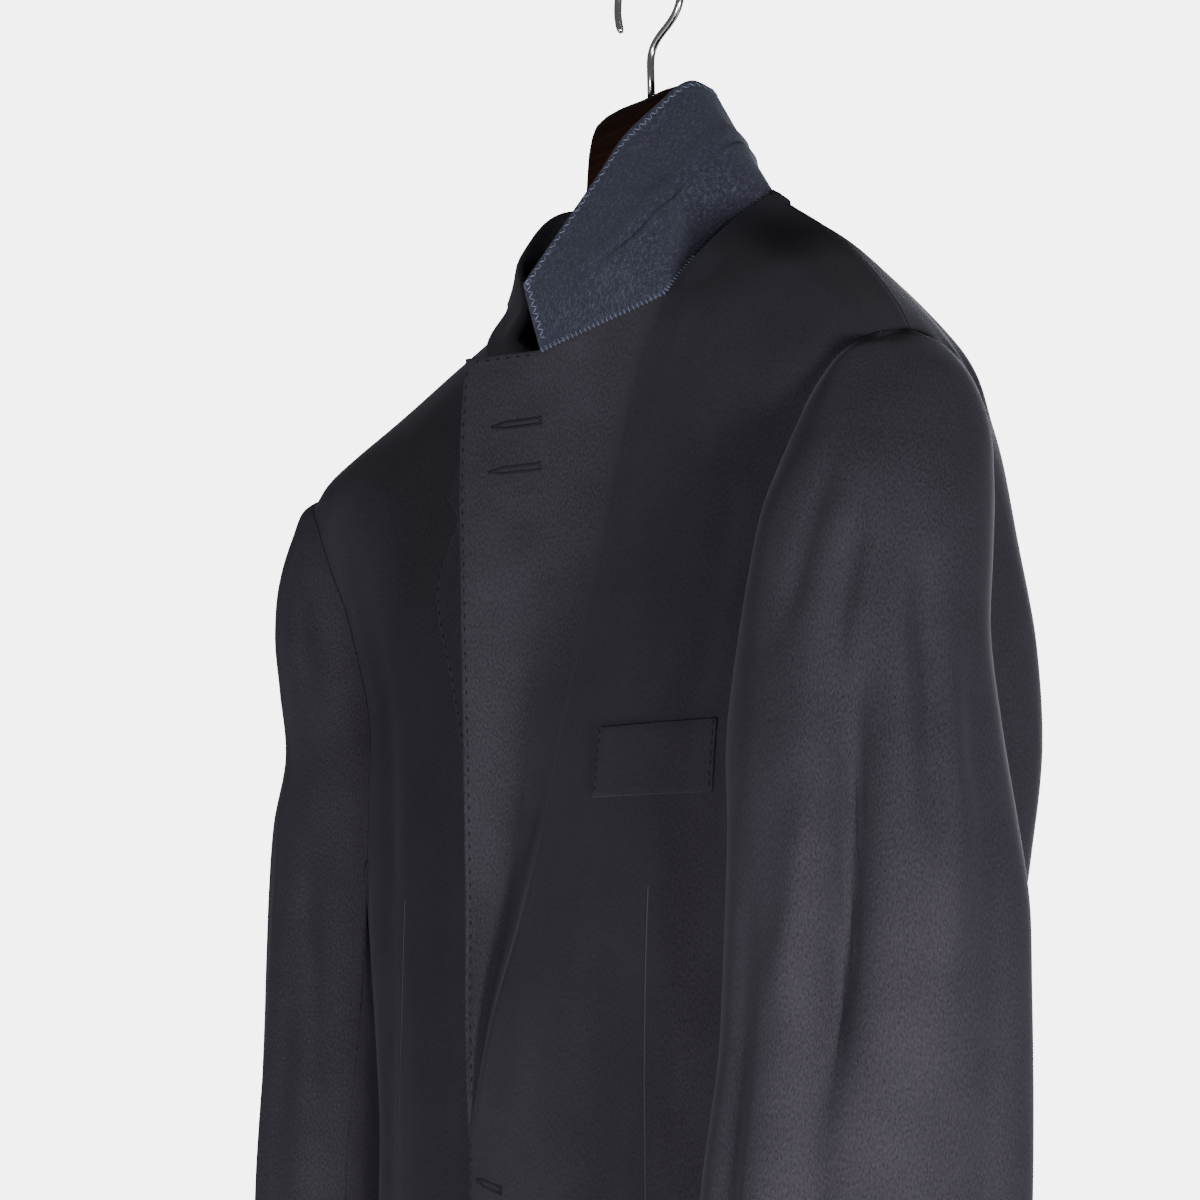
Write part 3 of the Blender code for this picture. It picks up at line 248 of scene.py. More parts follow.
# The hanger: its neck's top and thickness, the tips' distance, and the arms' depth and thickness.
# Then the distances between which it thins and thickens again, how far its bottom rises and
# where, how much narrower the neck's left half is, and the least height and thickness of a tip.
hangerTable = {"neckTop": 0.083, "neckThick": 0.011, "tip": 0.212, "armLow": 0.034,
               "armThin": 0.010, "armThick": 0.016, "thins": (0.03, 0.10),
               "thickens": (0.10, 0.20), "rise": 0.010, "rises": (0.05, 0.20),
               "leftNeck": 1.06, "tipHalf": 0.25, "tipThick": 0.3}
armClear = 0.0065  # between the arms' sides and the cloth's outer face
# The neck's outline: distance and height.
neckLine = ((0.0, 0.083), (0.024, 0.083), (0.033, 0.0815), (0.0375, 0.0785), (0.0395, 0.073),
            (0.041, 0.060), (0.0435, 0.048), (0.048, 0.036), (0.055, 0.026), (0.064, 0.017))
hookWire = 0.0019
hookRadius = 0.024


def cubic(first, last, wayIn, wayOut, t):
    # the point at share t of a smooth step between two points with their slopes
    return (first * (1 + 2 * t) * (1 - t) ** 2 + wayIn * t * (1 - t) ** 2
            + last * t * t * (3 - 2 * t) + wayOut * t * t * (t - 1))


def smooth(xs, ys, x):
    # value at x of a smooth curve through the rows
    order = np.argsort(xs)
    xs = np.asarray(xs, float)[order]
    ys = np.asarray(ys, float)[order]
    slopes = np.gradient(ys, xs, axis=0)
    i = int(np.clip(np.searchsorted(xs, x) - 1, 0, len(xs) - 2))
    h = xs[i + 1] - xs[i]
    t = min(max((x - xs[i]) / h, 0.0), 1.0)
    return cubic(ys[i], ys[i + 1], h * slopes[i], h * slopes[i + 1], t)


def ramp(x, low, high):
    # 0 below low, 1 above high, smooth between
    t = min(max((x - low) / (high - low), 0.0), 1.0)
    return t * t * (3 - 2 * t)


def bodyRow(name, height, side=1):
    value = smooth(bodyTable["height"], bodyTable[name], height)
    if side < 0 and name in rightShare:
        value *= smooth(rightShare["height"], rightShare[name], height)
    return value


def unit(vector):
    return vector / np.linalg.norm(vector)


def signedPower(value, exponent):
    return math.copysign(abs(value) ** exponent, value)


def placed(x, y, z):
    # from the garment's own datum to the part's frame
    return np.array((x, y + neckSetback, z + neckLevel))


def sleeveMiddle(side, height):
    x = smooth(sleeveTable["height"], sleeveTable["x"], height)
    y = smooth(sleeveTable["height"], sleeveTable["y"], height)
    return x, y + bodyRow("turn", height) * side * x


def tubeRadius(angle, height):
    # the hanging sleeve's section, before it is drawn to the armhole
    wide = smooth(sleeveTable["height"], sleeveTable["wide"], height)
    narrow = smooth(sleeveTable["height"], sleeveTable["narrow"], height)
    turn = angle - sleeveLean
    return wide * narrow / math.hypot(narrow * math.cos(turn), wide * math.sin(turn))


def pressed(side, x, y, height):
    # the body's side gives way to the sleeve that hangs against it
    share = ramp(-height, pressTable["from"], pressTable["to"])
    if share == 0.0 or x < pressTable["inner"]:
        return x, y
    cx, cy = sleeveMiddle(side, height)
    away = math.hypot(x - cx, y - cy)
    need = tubeRadius(math.atan2(y - cy, x - cx), height) + pressTable["gap"]
    soft = pressTable["soft"]
    push = share * soft * math.log1p(math.exp(min((need - away) / soft, 50.0)))
    return x + (x - cx) / away * push, y + (y - cy) / away * push


def body(side, angle, height):
    # A point of the body: angle 0 is the middle of the front, 90 degrees the side and 180
    # degrees the middle of the back. A negative angle goes on past the middle of the front.
    half = bodyRow("halfWidth", height, side)
    x = half * signedPower(math.sin(angle), 2 / sectionPower)
    cosine = math.cos(angle)
    if cosine >= 0:
        y = -bodyRow("front", height, side) * cosine ** (2 / sectionPower)
    else:
        slack = backSlack["power"] * (1 - ramp(-height, backSlack["from"], backSlack["to"]))
        y = bodyRow("back", height) * (-cosine) ** (2 / sectionPower + slack)
    y += shoulderBack - bow * x * x
    if side > 0:
        lap = proudTable
        y -= (lap["depth"] * (1 - ramp(x, lap["inner"], lap["outer"]))
              * ramp(-height, lap["from"], lap["to"]))
    y += bodyRow("turn", height) * side * x * (1 - ramp(math.degrees(angle), *turnFade))
    if angle > 0:
        drape = backDrape
        bulge = math.exp(-((angle - drape["angle"]) / drape["spread"]) ** 2
                         - ((height - drape["height"]) / drape["reach"]) ** 2)
        depth = drape["depth"] * (1.0 if side > 0 else drape["rightShare"])
        x += depth * bulge * drape["way"][0]
        y += depth * bulge * drape["way"][1]
        x, y = pressed(side, x, y, height)
    return placed(side * x, y, height)


def bodyAngle(side, height, distance, behind=False):
    # the angle at which the body is this far towards the wearer's left
    share = side * distance / bodyRow("halfWidth", height, side)
    angle = math.asin(min(max(signedPower(share, sectionPower / 2), -1.0), 1.0))
    return math.pi - angle if behind else angle


normalStep = (0.02, 0.002)  # angle and height over which a normal is taken


def bodyNormal(side, angle, height):
    turn, step = normalStep
    high = min(height + step, bodyTable["height"][0])
    along = body(side, angle + turn, height) - body(side, angle - turn, height)
    rise = body(side, angle, high) - body(side, angle, height - step)
    return unit(np.cross(along, rise) * side)


def armholeLine(side, part):
    # angles and heights on the body along one part of the armhole
    if part == "front":
        return [(bodyAngle(side, height, side * distance), height)
                for height, distance in armholeFront]
    if part == "back":
        return [(bodyAngle(side, height, side * distance, behind=True), height)
                for height, distance in armholeBack[side]]
    first, lowFirst = armholeLine(side, "front")[-1]
    last, lowLast = armholeLine(side, "back")[-1]
    dip = (lowFirst + lowLast) / 2 - underarm
    line = []
    for row in range(underarmSteps + 1):
        t = row / underarmSteps
        height = (lowFirst + (lowLast - lowFirst) * t
                  - dip * math.sin(math.pi * t) ** underarmCurve["power"])
        share = t + underarmCurve["shift"] * math.sin(2 * math.pi * t)
        line.append((first + (last - first) * share, height))
    return line


def sleeveLine(side, part):
    # the armhole's points as seen from the middle of the sleeve: direction, height and distance
    line = []
    for angle, height in armholeLine(side, part):
        point = body(side, angle, height) - placed(0, 0, 0)
        cx, cy = sleeveMiddle(side, height)
        turn = math.degrees(math.atan2(point[1] - cy, side * point[0] - cx)) % 360
        line.append((turn, height, math.hypot(side * point[0] - cx, point[1] - cy)))
    return line


class Tube:
    # one sleeve: points by direction and height
    def __init__(self, side):
        self.side = side
        self.excess = [(turn, height, radius - tubeRadius(math.radians(turn), height))
                       for part in ("front", "under", "back")
                       for turn, height, radius in sleeveLine(side, part)]

    def radius(self, turn, height):
        # Near the armhole the tube is drawn to it, and the pull fades over a few centimetres.
        weight = 0.0
        pull = 0.0
        nearest = 9.0
        for at, level, more in self.excess:
            away = (turn - at + 180) % 360 - 180
            gap = math.hypot(away / 360 * pullTable["round"], height - level)
            share = 1 / (gap * gap + tiny) ** 1.5
            weight += share
            pull += share * more
            nearest = min(nearest, gap)
        low = ramp(-height, pullTable["from"], pullTable["to"])
        reach = pullTable["reach"] - (pullTable["reach"] - pullTable["lowReach"]) * low
        base = tubeRadius(math.radians(turn), height)
        return base + pull / weight * (1 - ramp(nearest, 0.0, reach))

    def point(self, turn, height):
        radius = self.radius(turn, height)
        cx, cy = sleeveMiddle(self.side, height)
        angle = math.radians(turn)
        x = self.side * (cx + radius * math.cos(angle))
        return placed(x, cy + radius * math.sin(angle), height)


def middleOf(grid):
    return grid.shape[0] // 2, grid.shape[1] // 2


def gridNormals(grid, outward, at=None):
    # normals of a grid, on the side that outward points to at one place, or else at its middle
    normals = np.cross(np.gradient(grid, axis=1), np.gradient(grid, axis=0))
    size = np.linalg.norm(normals, axis=2, keepdims=True)
    good = size[..., 0] > tiny
    normals = normals / np.maximum(size, 1e-12)
    if np.dot(normals[at or middleOf(grid)], outward) < 0:
        normals = -normals
    for i, j in zip(*np.where(~good)):
        _, a, b = min((abs(i - a) + abs(j - b), a, b) for a, b in zip(*np.where(good)))
        normals[i, j] = normals[a, b]
    return normals


def bodyGrid(side, cells, depthAt=None):
    # points and normals of the body for a grid of (angle, height) cells
    grid = np.array([[body(side, *cell) for cell in row] for row in cells])
    if depthAt:
        for place in np.ndindex(grid.shape[:2]):
            normal = bodyNormal(side, *cells[place[0]][place[1]])
            grid[place] -= normal * depthAt(grid[place])
    middle = grid[middleOf(grid)]
    return grid, gridNormals(grid, middle - placed(0.0, -0.02, middle[2] - neckLevel))


def blend(first, last, t):
    return first[0] + (last[0] - first[0]) * t, first[1] + (last[1] - first[1]) * t


def seamDown(side, part):
    # the seam from the armhole's lower corner to the hem
    angle, height = armholeLine(side, part)[-1]
    return [(angle, height + (hemHeight - height) * (k + 1) / lowSteps) for k in range(lowSteps)]


def outerLine(side, part):
    return armholeLine(side, part) + seamDown(side, part)


def shoulderLine():
    high = bodyTable["height"][0]
    return [(math.pi / 2, high - (high - shoulderEnd) * (k / chestColumns))
            for k in range(chestColumns + 1)]


def spreadCells(top, inner, outer, power):
    # cells between an inner and an outer line, whose first row is drawn to the top line
    last = len(outer) - 1
    cells = []
    for i in range(last + 1):
        fade = (1 - i / last) ** power
        row = []
        for j in range(len(top)):
            across = j / (len(top) - 1)
            straight = blend(inner[i], outer[i], across)
            plainTop = blend(inner[0], outer[0], across)
            row.append((straight[0] + (top[j][0] - plainTop[0]) * fade,
                        straight[1] + (top[j][1] - plainTop[1]) * fade))
        cells.append(row)
    return cells


def frontCells(side, edge):
    # the chest between its inner edge and the armhole and side seam, under the shoulder seam
    inner = [(bodyAngle(side, height, distance), height) for height, distance in edge]
    inner[0] = (math.pi / 2, edge[0][0])
    return spreadCells(shoulderLine(), inner, outerLine(side, "front"), power=2)


def arcBetween(points, steps):
    # points along a smooth curve through a few points, by distance
    points = np.asarray(points, float)
    along = np.concatenate(([0.0], np.cumsum(np.linalg.norm(np.diff(points, axis=0), axis=1))))
    return np.array([smooth(along, points, along[-1] * k / steps) for k in range(steps + 1)])


def leftFront():
    # the left chest, and its lapel's rows from the outer edge to the roll line
    chest, chestNormals = bodyGrid(1, frontCells(1, leftEdge))
    rows = []
    for k, edge in enumerate(leftLapel):
        root = chest[lapelTop + k, 0]
        tip = placed(*edge)
        if k == 0:
            notch = placed(*leftNotch)
            rows.append(np.array((root, (root + notch) / 2, notch, (notch + tip) / 2, tip)))
        else:
            middle = (root + tip) / 2 + np.array((0.0, lapelSag[k], 0.0))
            rows.append(arcBetween((root, middle, tip), 4))
    rows.append(np.array([chest[lapelEnd, 0]] * 5))
    return chest, chestNormals, np.array(rows)[:, ::-1]


def underlap(point):
    # the right front lies behind the left one near the middle
    lap = underlapTable
    height = point[2] - neckLevel
    depth = lap["depth"] + (lap["lowDepth"] - lap["depth"]) * ramp(-height, *lap["changes"])
    return depth * ramp(point[0], *lap["distance"]) * ramp(-height, *lap["grows"])


def rightPoint(height, distance, lift):
    angle = bodyAngle(-1, height, distance)
    point = body(-1, angle, height)
    normal = bodyNormal(-1, angle, height)
    return point + normal * (lift - underlap(point)), normal


def rightFlap(lift, steps):
    # the rolled lapel: rows from the roll line to the lapel's outer edge
    grid = []
    normals = []
    for k, (height, distance) in enumerate(rightLapel):
        edge = rightEdge[lapelTop + k]
        line = [rightPoint(edge[0] + (height - edge[0]) * step / steps,
                           edge[1] + (distance - edge[1]) * step / steps, lift)
                for step in range(steps + 1)]
        grid.append([point for point, _ in line])
        normals.append([normal for _, normal in line])
    return np.array(grid), np.array(normals)


def rolledLapel():
    # the right chest and the rolled lapel, whose rows start at the roll line
    chest, chestNormals = bodyGrid(-1, frontCells(-1, rightEdge), underlap)
    flap, flapNormals = rightFlap(2 * rollRadius, 4)
    rows = []
    rowNormals = []
    for k in range(flap.shape[0]):
        root = chest[lapelTop + k, 0]
        normal = chestNormals[lapelTop + k, 0]
        way = unit(root - chest[lapelTop + k, 1])
        bend = root + normal * rollRadius + way * rollRadius
        rows.append(np.vstack((root, bend, flap[k])))
        rowNormals.append(np.vstack((normal, -way, -flapNormals[k])))
    end = chest[lapelEnd, 0]
    rows.append(np.array([end] * len(rows[0])))
    rowNormals.append(np.array([-way] * len(rows[0])))
    return chest, chestNormals, np.array(rows), np.array(rowNormals)


def backPanel(side):
    high = bodyTable["height"][0]
    top = [(math.pi - (math.pi / 2) * k / 3, high) for k in range(3)] + shoulderLine()
    outer = outerLine(side, "back")
    inner = [(math.pi, high + (hemHeight - high) * (i / (len(outer) - 1)) ** 1.25)
             for i in range(len(outer))]
    return bodyGrid(side, spreadCells(top, inner, outer, power=3))


def sidePanel(side):
    front = seamDown(side, "front")
    back = seamDown(side, "back")
    cells = [armholeLine(side, "under")]
    for i in range(lowSteps):
        row = []
        for j, (_, top) in enumerate(cells[0]):
            edge = blend(front[i], back[i], j / underarmSteps)
            low = top + (hemHeight - top) * (i + 1) / lowSteps
            row.append((edge[0], low if 0 < j < underarmSteps else edge[1]))
        cells.append(row)
    return bodyGrid(side, cells)


def sleeveGrid(side, tube, cells):
    # points and normals of a sleeve for a grid of (direction, height) cells
    grid = np.array([[tube.point(*cell) for cell in row] for row in cells])
    middle = grid[middleOf(grid)]
    height = middle[2] - neckLevel
    cx, cy = sleeveMiddle(side, height)
    return grid, gridNormals(grid, middle - placed(side * cx, cy, height))


def topSleeve(side, tube):
    # from the armhole's front seam round the outside to the hind seam
    front = [row[:2] for row in sleeveLine(side, "front")]
    back = [(turn if turn > 270 else turn + 360, height)
            for turn, height, _ in sleeveLine(side, "back")]
    total = len(front) - 1 + sleeveSteps

    def down(turn, start, steps):
        return [(turn, start + (cuffHeight - start) * (k + 1) / steps) for k in range(steps)]

    first = front + down(*front[-1], sleeveSteps)
    last = back[:hindSeam + 1] + down(*back[hindSeam], total - hindSeam)
    cells = [[blend(first[i], last[i], j / sleeveColumns) for j in range(sleeveColumns + 1)]
             for i in range(total + 1)]
    cells[0] = [first[0]] * (sleeveColumns + 1)
    return sleeveGrid(side, tube, cells), front, back


def underSleeve(side, tube, front, back):
    # from the hind seam under the arm to the front seam
    hindSteps = len(front) - 1 + sleeveSteps - hindSeam
    under = back[hindSeam:]
    for turn, height, _ in sleeveLine(side, "under")[-2:0:-1]:
        under.append((turn if turn > 340 else turn + 360, height))
    under.append((front[-1][0] + 360, front[-1][1]))
    ahead = hindSteps - sleeveSteps
    cells = []
    for i in range(hindSteps + 1):
        row = []
        for j, (turn, height) in enumerate(under):
            across = j / (len(under) - 1)
            downHind = i / hindSteps
            downFront = max(i - ahead, 0) / sleeveSteps
            share = downHind + (downFront - downHind) * across
            even = under[0][0] + (under[-1][0] - under[0][0]) * across
            turn += (even - turn) * min(share * 3, 1.0)
            row.append((turn, height + (cuffHeight - height) * share))
        cells.append(row)
    grid, normals = sleeveGrid(side, tube, cells)
    armholeCells = armholeLine(side, "under")
    for j in range(len(back) - hindSeam, len(under)):
        row = len(under) - 1 - j
        outside = bodyNormal(side, *armholeCells[min(row, underarmSteps)])
        if np.dot(outside, normals[0, j]) <= 0.0:
            grid[0, j] += outside * seamGap
    return grid, normals


def collarRows():
    # the collar's middle surface: seam, rounded crest and edge of each row
    high = leftEdge[0][0]
    leftSeam = [body(1, bodyAngle(1, height, distance), height)
                for height, distance in leftEdge[:4]]
    leftSeam[0] = body(1, math.pi / 2, high)
    notch = placed(*leftNotch)
    seams = [notch, (notch + leftSeam[3]) / 2] + leftSeam[::-1]
    seams += [body(1, math.pi * part / 6, high) for part in (4, 5, 6)]
    seams += [body(-1, math.pi * part / 6, high) for part in (5, 4, 3)]
    seams += [rightPoint(height, distance, 0.0)[0] for height, distance in rightEdge[1:3]]
    near = np.mean((rightEdge[2], rightEdge[3]), axis=0)
    seams.append(rightPoint(*near, collarSeam["lift"])[0])
    plain = len(seams)
    _, _, flap, flapNormals = rolledLapel()
    away = []
    for column in (1, 2, 3, 4, 6):
        seams.append(flap[0, column] - flapNormals[0, column] * wall * collarSeam["sink"])
        along = unit(flap[0, min(column + 1, 6)] - flap[0, max(column - 1, 0)])
        off = flap[0, column] - flap[1, column] if column < 6 else away[-1]
        away.append(off - along * np.dot(off, along))
    rows = []
    for number, (seam, (crest, edge, lift)) in enumerate(zip(seams, collarTable)):
        crest, edge = (placed(*spot) if len(spot) == 3 else rightPoint(*spot, lift)[0]
                       for spot in (crest, edge))
        way = crest - seam if number < plain else away[number - plain]
        across = unit(edge - seam)
        first = seam + unit(way) * collarGap * (1 if number < plain else collarSeam["gaps"])
        low = crest - across * crestHalf
        high = crest + across * crestHalf
        rows.append([first, (first + low) / 2, low, high, high + (edge - high) / 3,
                     high + (edge - high) * 2 / 3, edge])
    return np.array(rows)


print("forms ready")

# Fine grids: sizes of the cloth's cells, and of points that count as one.
fineCell = 0.0042
sleeveCell = 0.0040
weldSize = 2e-5
seamInset = -0.00008  # how far in a seam's edges stand: just past it, so that neighbours meet
# Rings of a wall's rounded rim: share of the wall, and how far in it stands in halves of the wall.
rimRings = ((0.15, 0.35), (0.5, 0.0), (0.85, 0.35))


def hermite(values, factor, splits):
    # a finer row of points through the given ones, with corners only at the splits
    rows = [values[:1]]
    for first, last in zip(splits[:-1], splits[1:]):
        part = values[first:last + 1]
        step = np.diff(part, axis=0)
        size = np.maximum(np.linalg.norm(step, axis=-1, keepdims=True), 1e-7)
        way = step / size
        inner = (way[:-1] * size[1:] + way[1:] * size[:-1]) / (size[:-1] + size[1:])
        slope = np.concatenate((way[:1], inner, way[-1:]))
        for i in range(len(part) - 1):
            one, two = slope[i] * size[i], slope[i + 1] * size[i]
            for k in range(1, factor + 1):
                rows.append(cubic(part[i], part[i + 1], one, two, k / factor)[None])
    return np.concatenate(rows)


def refine(grid, down, across, rows=(), columns=()):
    # a finer grid, with corners only at the stated rows and columns
    tall = hermite(grid, down, [0, *rows, grid.shape[0] - 1])
    return hermite(tall.swapaxes(0, 1), across, [0, *columns, grid.shape[1] - 1]).swapaxes(0, 1)


def stepLengths(grid, axis):
    return np.linalg.norm(np.diff(grid, axis=axis), axis=2)


def factorFor(grid, axis, cell=fineCell):
    return max(int(round(np.percentile(stepLengths(grid, axis), 80) / cell)), 1)


def pathLength(grid, axis):
    # metres along the columns or the rows of a grid, from its first point
    steps = stepLengths(grid, axis)
    start = np.zeros_like(steps.take([0], axis=axis))
    return np.concatenate((start, np.cumsum(steps, axis=axis)), axis=axis)


def weaveSpot(grid):
    # metres along the weft and the warp for every point of a grid
    across = pathLength(grid, 1)
    return np.stack((across - across[:, -1:] / 2, pathLength(grid, 0) - grid[:1, :, 2]), axis=2)


# Closed cloth walls.
def welded(grids):
    # points, normals, weave places and cells of grids whose coinciding points are one
    index = {}
    points = []
    normals = []
    spots = []
    loops = []
    for grid, gridNormal in grids:
        weave = weaveSpot(grid)
        keys = np.round(grid / weldSize).astype(int)
        place = np.zeros(grid.shape[:2], int)
        for cell in np.ndindex(place.shape):
            key = tuple(keys[cell])
            if key not in index:
                index[key] = len(points)
                points.append(grid[cell])
                normals.append(np.zeros(3))
                spots.append(weave[cell])
            place[cell] = index[key]
            normals[place[cell]] = normals[place[cell]] + gridNormal[cell]
        i, j = middleOf(grid)
        cross = np.cross(grid[i, j + 1] - grid[i, j], grid[i + 1, j] - grid[i, j])
        flip = np.dot(cross, gridNormal[i, j]) < 0
        for i, j in np.ndindex(place.shape[0] - 1, place.shape[1] - 1):
            loop = [place[i, j], place[i, j + 1], place[i + 1, j + 1], place[i + 1, j]]
            loop = [value for k, value in enumerate(loop) if value not in loop[:k]]
            if len(loop) > 2:
                loops.append(loop[::-1] if flip else loop)
    normals = np.array(normals)
    normals /= np.maximum(np.linalg.norm(normals, axis=1, keepdims=True), tiny)
    return np.array(points), normals, np.array(spots), loops


def openBorder(points, normals, loops):
    # the border's edges, and for each of its points the way in along the cloth
    edges = {}
    inward = {}
    for loop in loops:
        centre = points[loop].mean(axis=0)
        for a, b in zip(loop, loop[1:] + loop[:1]):
            edges[(a, b)] = True
            for k in (a, b):
                inward.setdefault(k, []).append(centre - points[k])
    border = [(a, b) for a, b in edges if (b, a) not in edges]
    along = {}
    for a, b in border:
        for k in (a, b):
            along[k] = along.get(k, 0) + (points[b] - points[a])
    ways = {}
    for k, step in along.items():
        step = step / max(np.linalg.norm(step), tiny)
        way = np.sum(inward[k], axis=0)
        way = way - step * np.dot(way, step) - normals[k] * np.dot(way, normals[k])
        ways[k] = way / max(np.linalg.norm(way), tiny)
    return border, ways


def clothWall(name, grids, thickness, material, out=0.0, marks=None, inset=seamInset):
    # one closed wall from fine grids of (points, normals), with rounded cut edges
    points, normals, spots, loops = welded(grids)
    border, ways = openBorder(points, normals, loops)
    around = thickness / 2
    total = len(points)
    outer = points + normals * out
    inner = points + normals * (out - thickness)
    rim = {}
    ring = []
    for k, way in ways.items():
        outer[k] += way * (around + inset)
        inner[k] += way * (around + inset)
        rim[k] = 2 * total + len(ring)
        for share, draw in rimRings:
            ring.append(points[k] + normals[k] * (out - thickness * share)
                        + way * (around * draw + inset))
    faces = loops + [[k + total for k in reversed(loop)] for loop in loops]
    for a, b in border:
        chainA, chainB = ([k, rim[k], rim[k] + 1, rim[k] + 2, k + total] for k in (a, b))
        for k in range(4):
            faces.append([chainB[k], chainA[k], chainA[k + 1], chainB[k + 1]])
    vertices = np.concatenate((outer, inner, np.array(ring)))
    mesh = bpy.data.meshes.new(name)
    mesh.from_pydata(vertices.tolist(), [], faces)
    owner = np.concatenate((np.arange(total), np.arange(total), np.repeat(list(ways), 3)))
    layer = mesh.uv_layers.new(name="weave")
    corners = np.zeros(len(mesh.loops), int)
    mesh.loops.foreach_get("vertex_index", corners)
    layer.data.foreach_set("uv", spots[owner[corners]].astype(np.float32).ravel())
    for mark, values in (marks or {}).items():
        attribute = mesh.attributes.new(mark, "FLOAT", "POINT")
        attribute.data.foreach_set("value", values(vertices).astype(np.float32))
    mesh.polygons.foreach_set("use_smooth", [True] * len(mesh.polygons))
    mesh.materials.append(material)
    mesh.validate()
    mesh.update()
    return linked(name, mesh)


def cutSize(grids):
    # width, length and area of the cloth in a panel's grids
    area = 0.0
    for grid, _ in grids:
        one = np.cross(grid[1:, 1:] - grid[:-1, :-1], grid[1:, :-1] - grid[:-1, 1:])
        area += np.linalg.norm(one, axis=2).sum() / 2
    main = grids[0][0]
    widths = stepLengths(main, 1).sum(axis=1)
    for grid, _ in grids[1:]:  # a lapel or an underlap is cut in one with the panel
        row = int(np.argmin(np.linalg.norm(main[:, 0] - grid[0, -1], axis=1)))
        extra = stepLengths(grid, 1).sum(axis=1)
        widths[row:row + len(extra)] += extra[:len(widths) - row]
    width = widths.max()
    length = stepLengths(main, 0).sum(axis=0).max()
    length = max(length, area / width * 1.001)
    return round(float(width), 4), round(float(length) + 0.0005, 4), float(area)


def sheetPiece(piece, grids, nodes):
    width, length, area = cutSize(grids)
    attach(piece, "root")
    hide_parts(*nodes)
    print(piece.name, "cut", width, length, round(area, 4), "faces", len(piece.data.polygons))


# Folds and wrinkles move a fine grid along its normals.
# Sleeve folds: direction and height of the top and the bottom, depth and half width in degrees.
reliefTables = {
    "sleeveLeft": (
        (299, -0.120, 280, -0.215, -0.0030, 6.0),
        (315, -0.140, 301, -0.265, -0.0048, 4.5),
        (319, -0.190, 296, -0.400, -0.0150, 8.5),
        (298, -0.335, 288, -0.800, -0.0150, 11.0),
        (346, -0.160, 343, -0.300, -0.0050, 5.0),
        (333, -0.150, 334, -0.270, 0.0020, 5.0),
        (358, -0.190, 340, -0.370, 0.0036, 9.0),
        (339, -0.320, 333, -0.800, 0.0044, 11.0),
        (300, -0.250, 279, -0.350, 0.0040, 7.0),
        (275, -0.320, 268, -0.740, 0.0044, 10.0),
        (262, -0.250, 257, -0.620, -0.0034, 9.0),
        (10, -0.150, 12, -0.560, -0.0034, 13.0),
        (60, -0.300, 95, -0.460, -0.0030, 12.0),
        (100, -0.340, 70, -0.480, 0.0022, 12.0),
        (230, -0.330, 205, -0.470, -0.0026, 12.0),
    ),
    "sleeveRight": (
        (257, -0.120, 256, -0.200, -0.0034, 12.0),
        (254, -0.240, 222, -0.450, -0.0030, 7.0),
        (256, -0.280, 244, -0.560, -0.0022, 7.0),
        (270, -0.220, 262, -0.560, 0.0020, 9.0),
        (325, -0.170, 325, -0.690, -0.0045, 18.0),
        (290, -0.200, 288, -0.520, -0.0026, 13.0),
        (12, -0.150, 12, -0.560, -0.0030, 16.0),
        (70, -0.300, 95, -0.460, -0.0026, 12.0),
    ),
}
# Body folds: distance and height of the top and the bottom, depth and half width in metres.
bodyRelief = {
    "front": (
        (0.165, -0.120, 0.150, -0.260, -0.0016, 0.012),
        (0.140, -0.250, 0.155, -0.480, 0.0014, 0.016),
        (0.176, -0.290, 0.150, -0.420, -0.0020, 0.014),
        (0.100, -0.330, 0.090, -0.620, -0.0010, 0.014),
        (-0.150, -0.260, -0.135, -0.520, -0.0014, 0.014),
        (-0.165, -0.140, -0.150, -0.280, -0.0014, 0.012),
        (-0.110, -0.360, -0.120, -0.640, 0.0012, 0.016),
    ),
    "back": (
        (0.060, -0.360, 0.110, -0.560, -0.0022, 0.018),
        (-0.060, -0.360, -0.110, -0.560, -0.0022, 0.018),
        (0.020, -0.020, 0.090, -0.075, -0.0012, 0.012),
        (-0.020, -0.020, -0.090, -0.075, -0.0012, 0.012),
        (0.150, -0.150, 0.120, -0.330, -0.0020, 0.016),
        (-0.150, -0.150, -0.120, -0.330, -0.0020, 0.016),
        (0.040, -0.450, 0.045, -0.690, 0.0016, 0.016),
        (-0.045, -0.450, -0.040, -0.690, 0.0016, 0.016),
    ),
}
slackCloth = {"depth": 0.0009, "size": 0.060, "tall": 0.55}
# The share of its length over which a fold rises, and how far it reaches past its ends.
foldReach = {"sleeve": (0.35, 0.0), "body": (0.45, 0.25)}


def eased(values, low, high):
    # 0 below low, 1 above high, smooth between, for arrays
    t = np.clip((values - low) / (high - low), 0, 1)
    return t * t * (3 - 2 * t)


def slack(points):
    x, y, z = (points.reshape(-1, 3) / slackCloth["size"]).T
    value = np.array([noise.noise(Vector(spot)) for spot in zip(x, y, z * slackCloth["tall"])])
    return value.reshape(points.shape[:-1]) * slackCloth["depth"]


def foldEnds(t, rise, past):
    # how a fold rises and dies out, at this share of its length
    ends = np.clip((t + past) / rise, 0, 1) * np.clip((1 + past - t) / rise, 0, 1)
    return ends * ends * (3 - 2 * ends)


def sleeveFold(row, heading, height):
    top, high, bottom, low, depth, half = row
    t = np.clip((high - height) / (high - low), -0.3, 1.3)
    away = (heading - (top + (bottom - top) * t) + 180) % 360 - 180
    ends = foldEnds(t, *foldReach["sleeve"])
    return depth * ends * np.exp(0.25 - ((away / half) ** 2 + 0.06) ** 0.7)


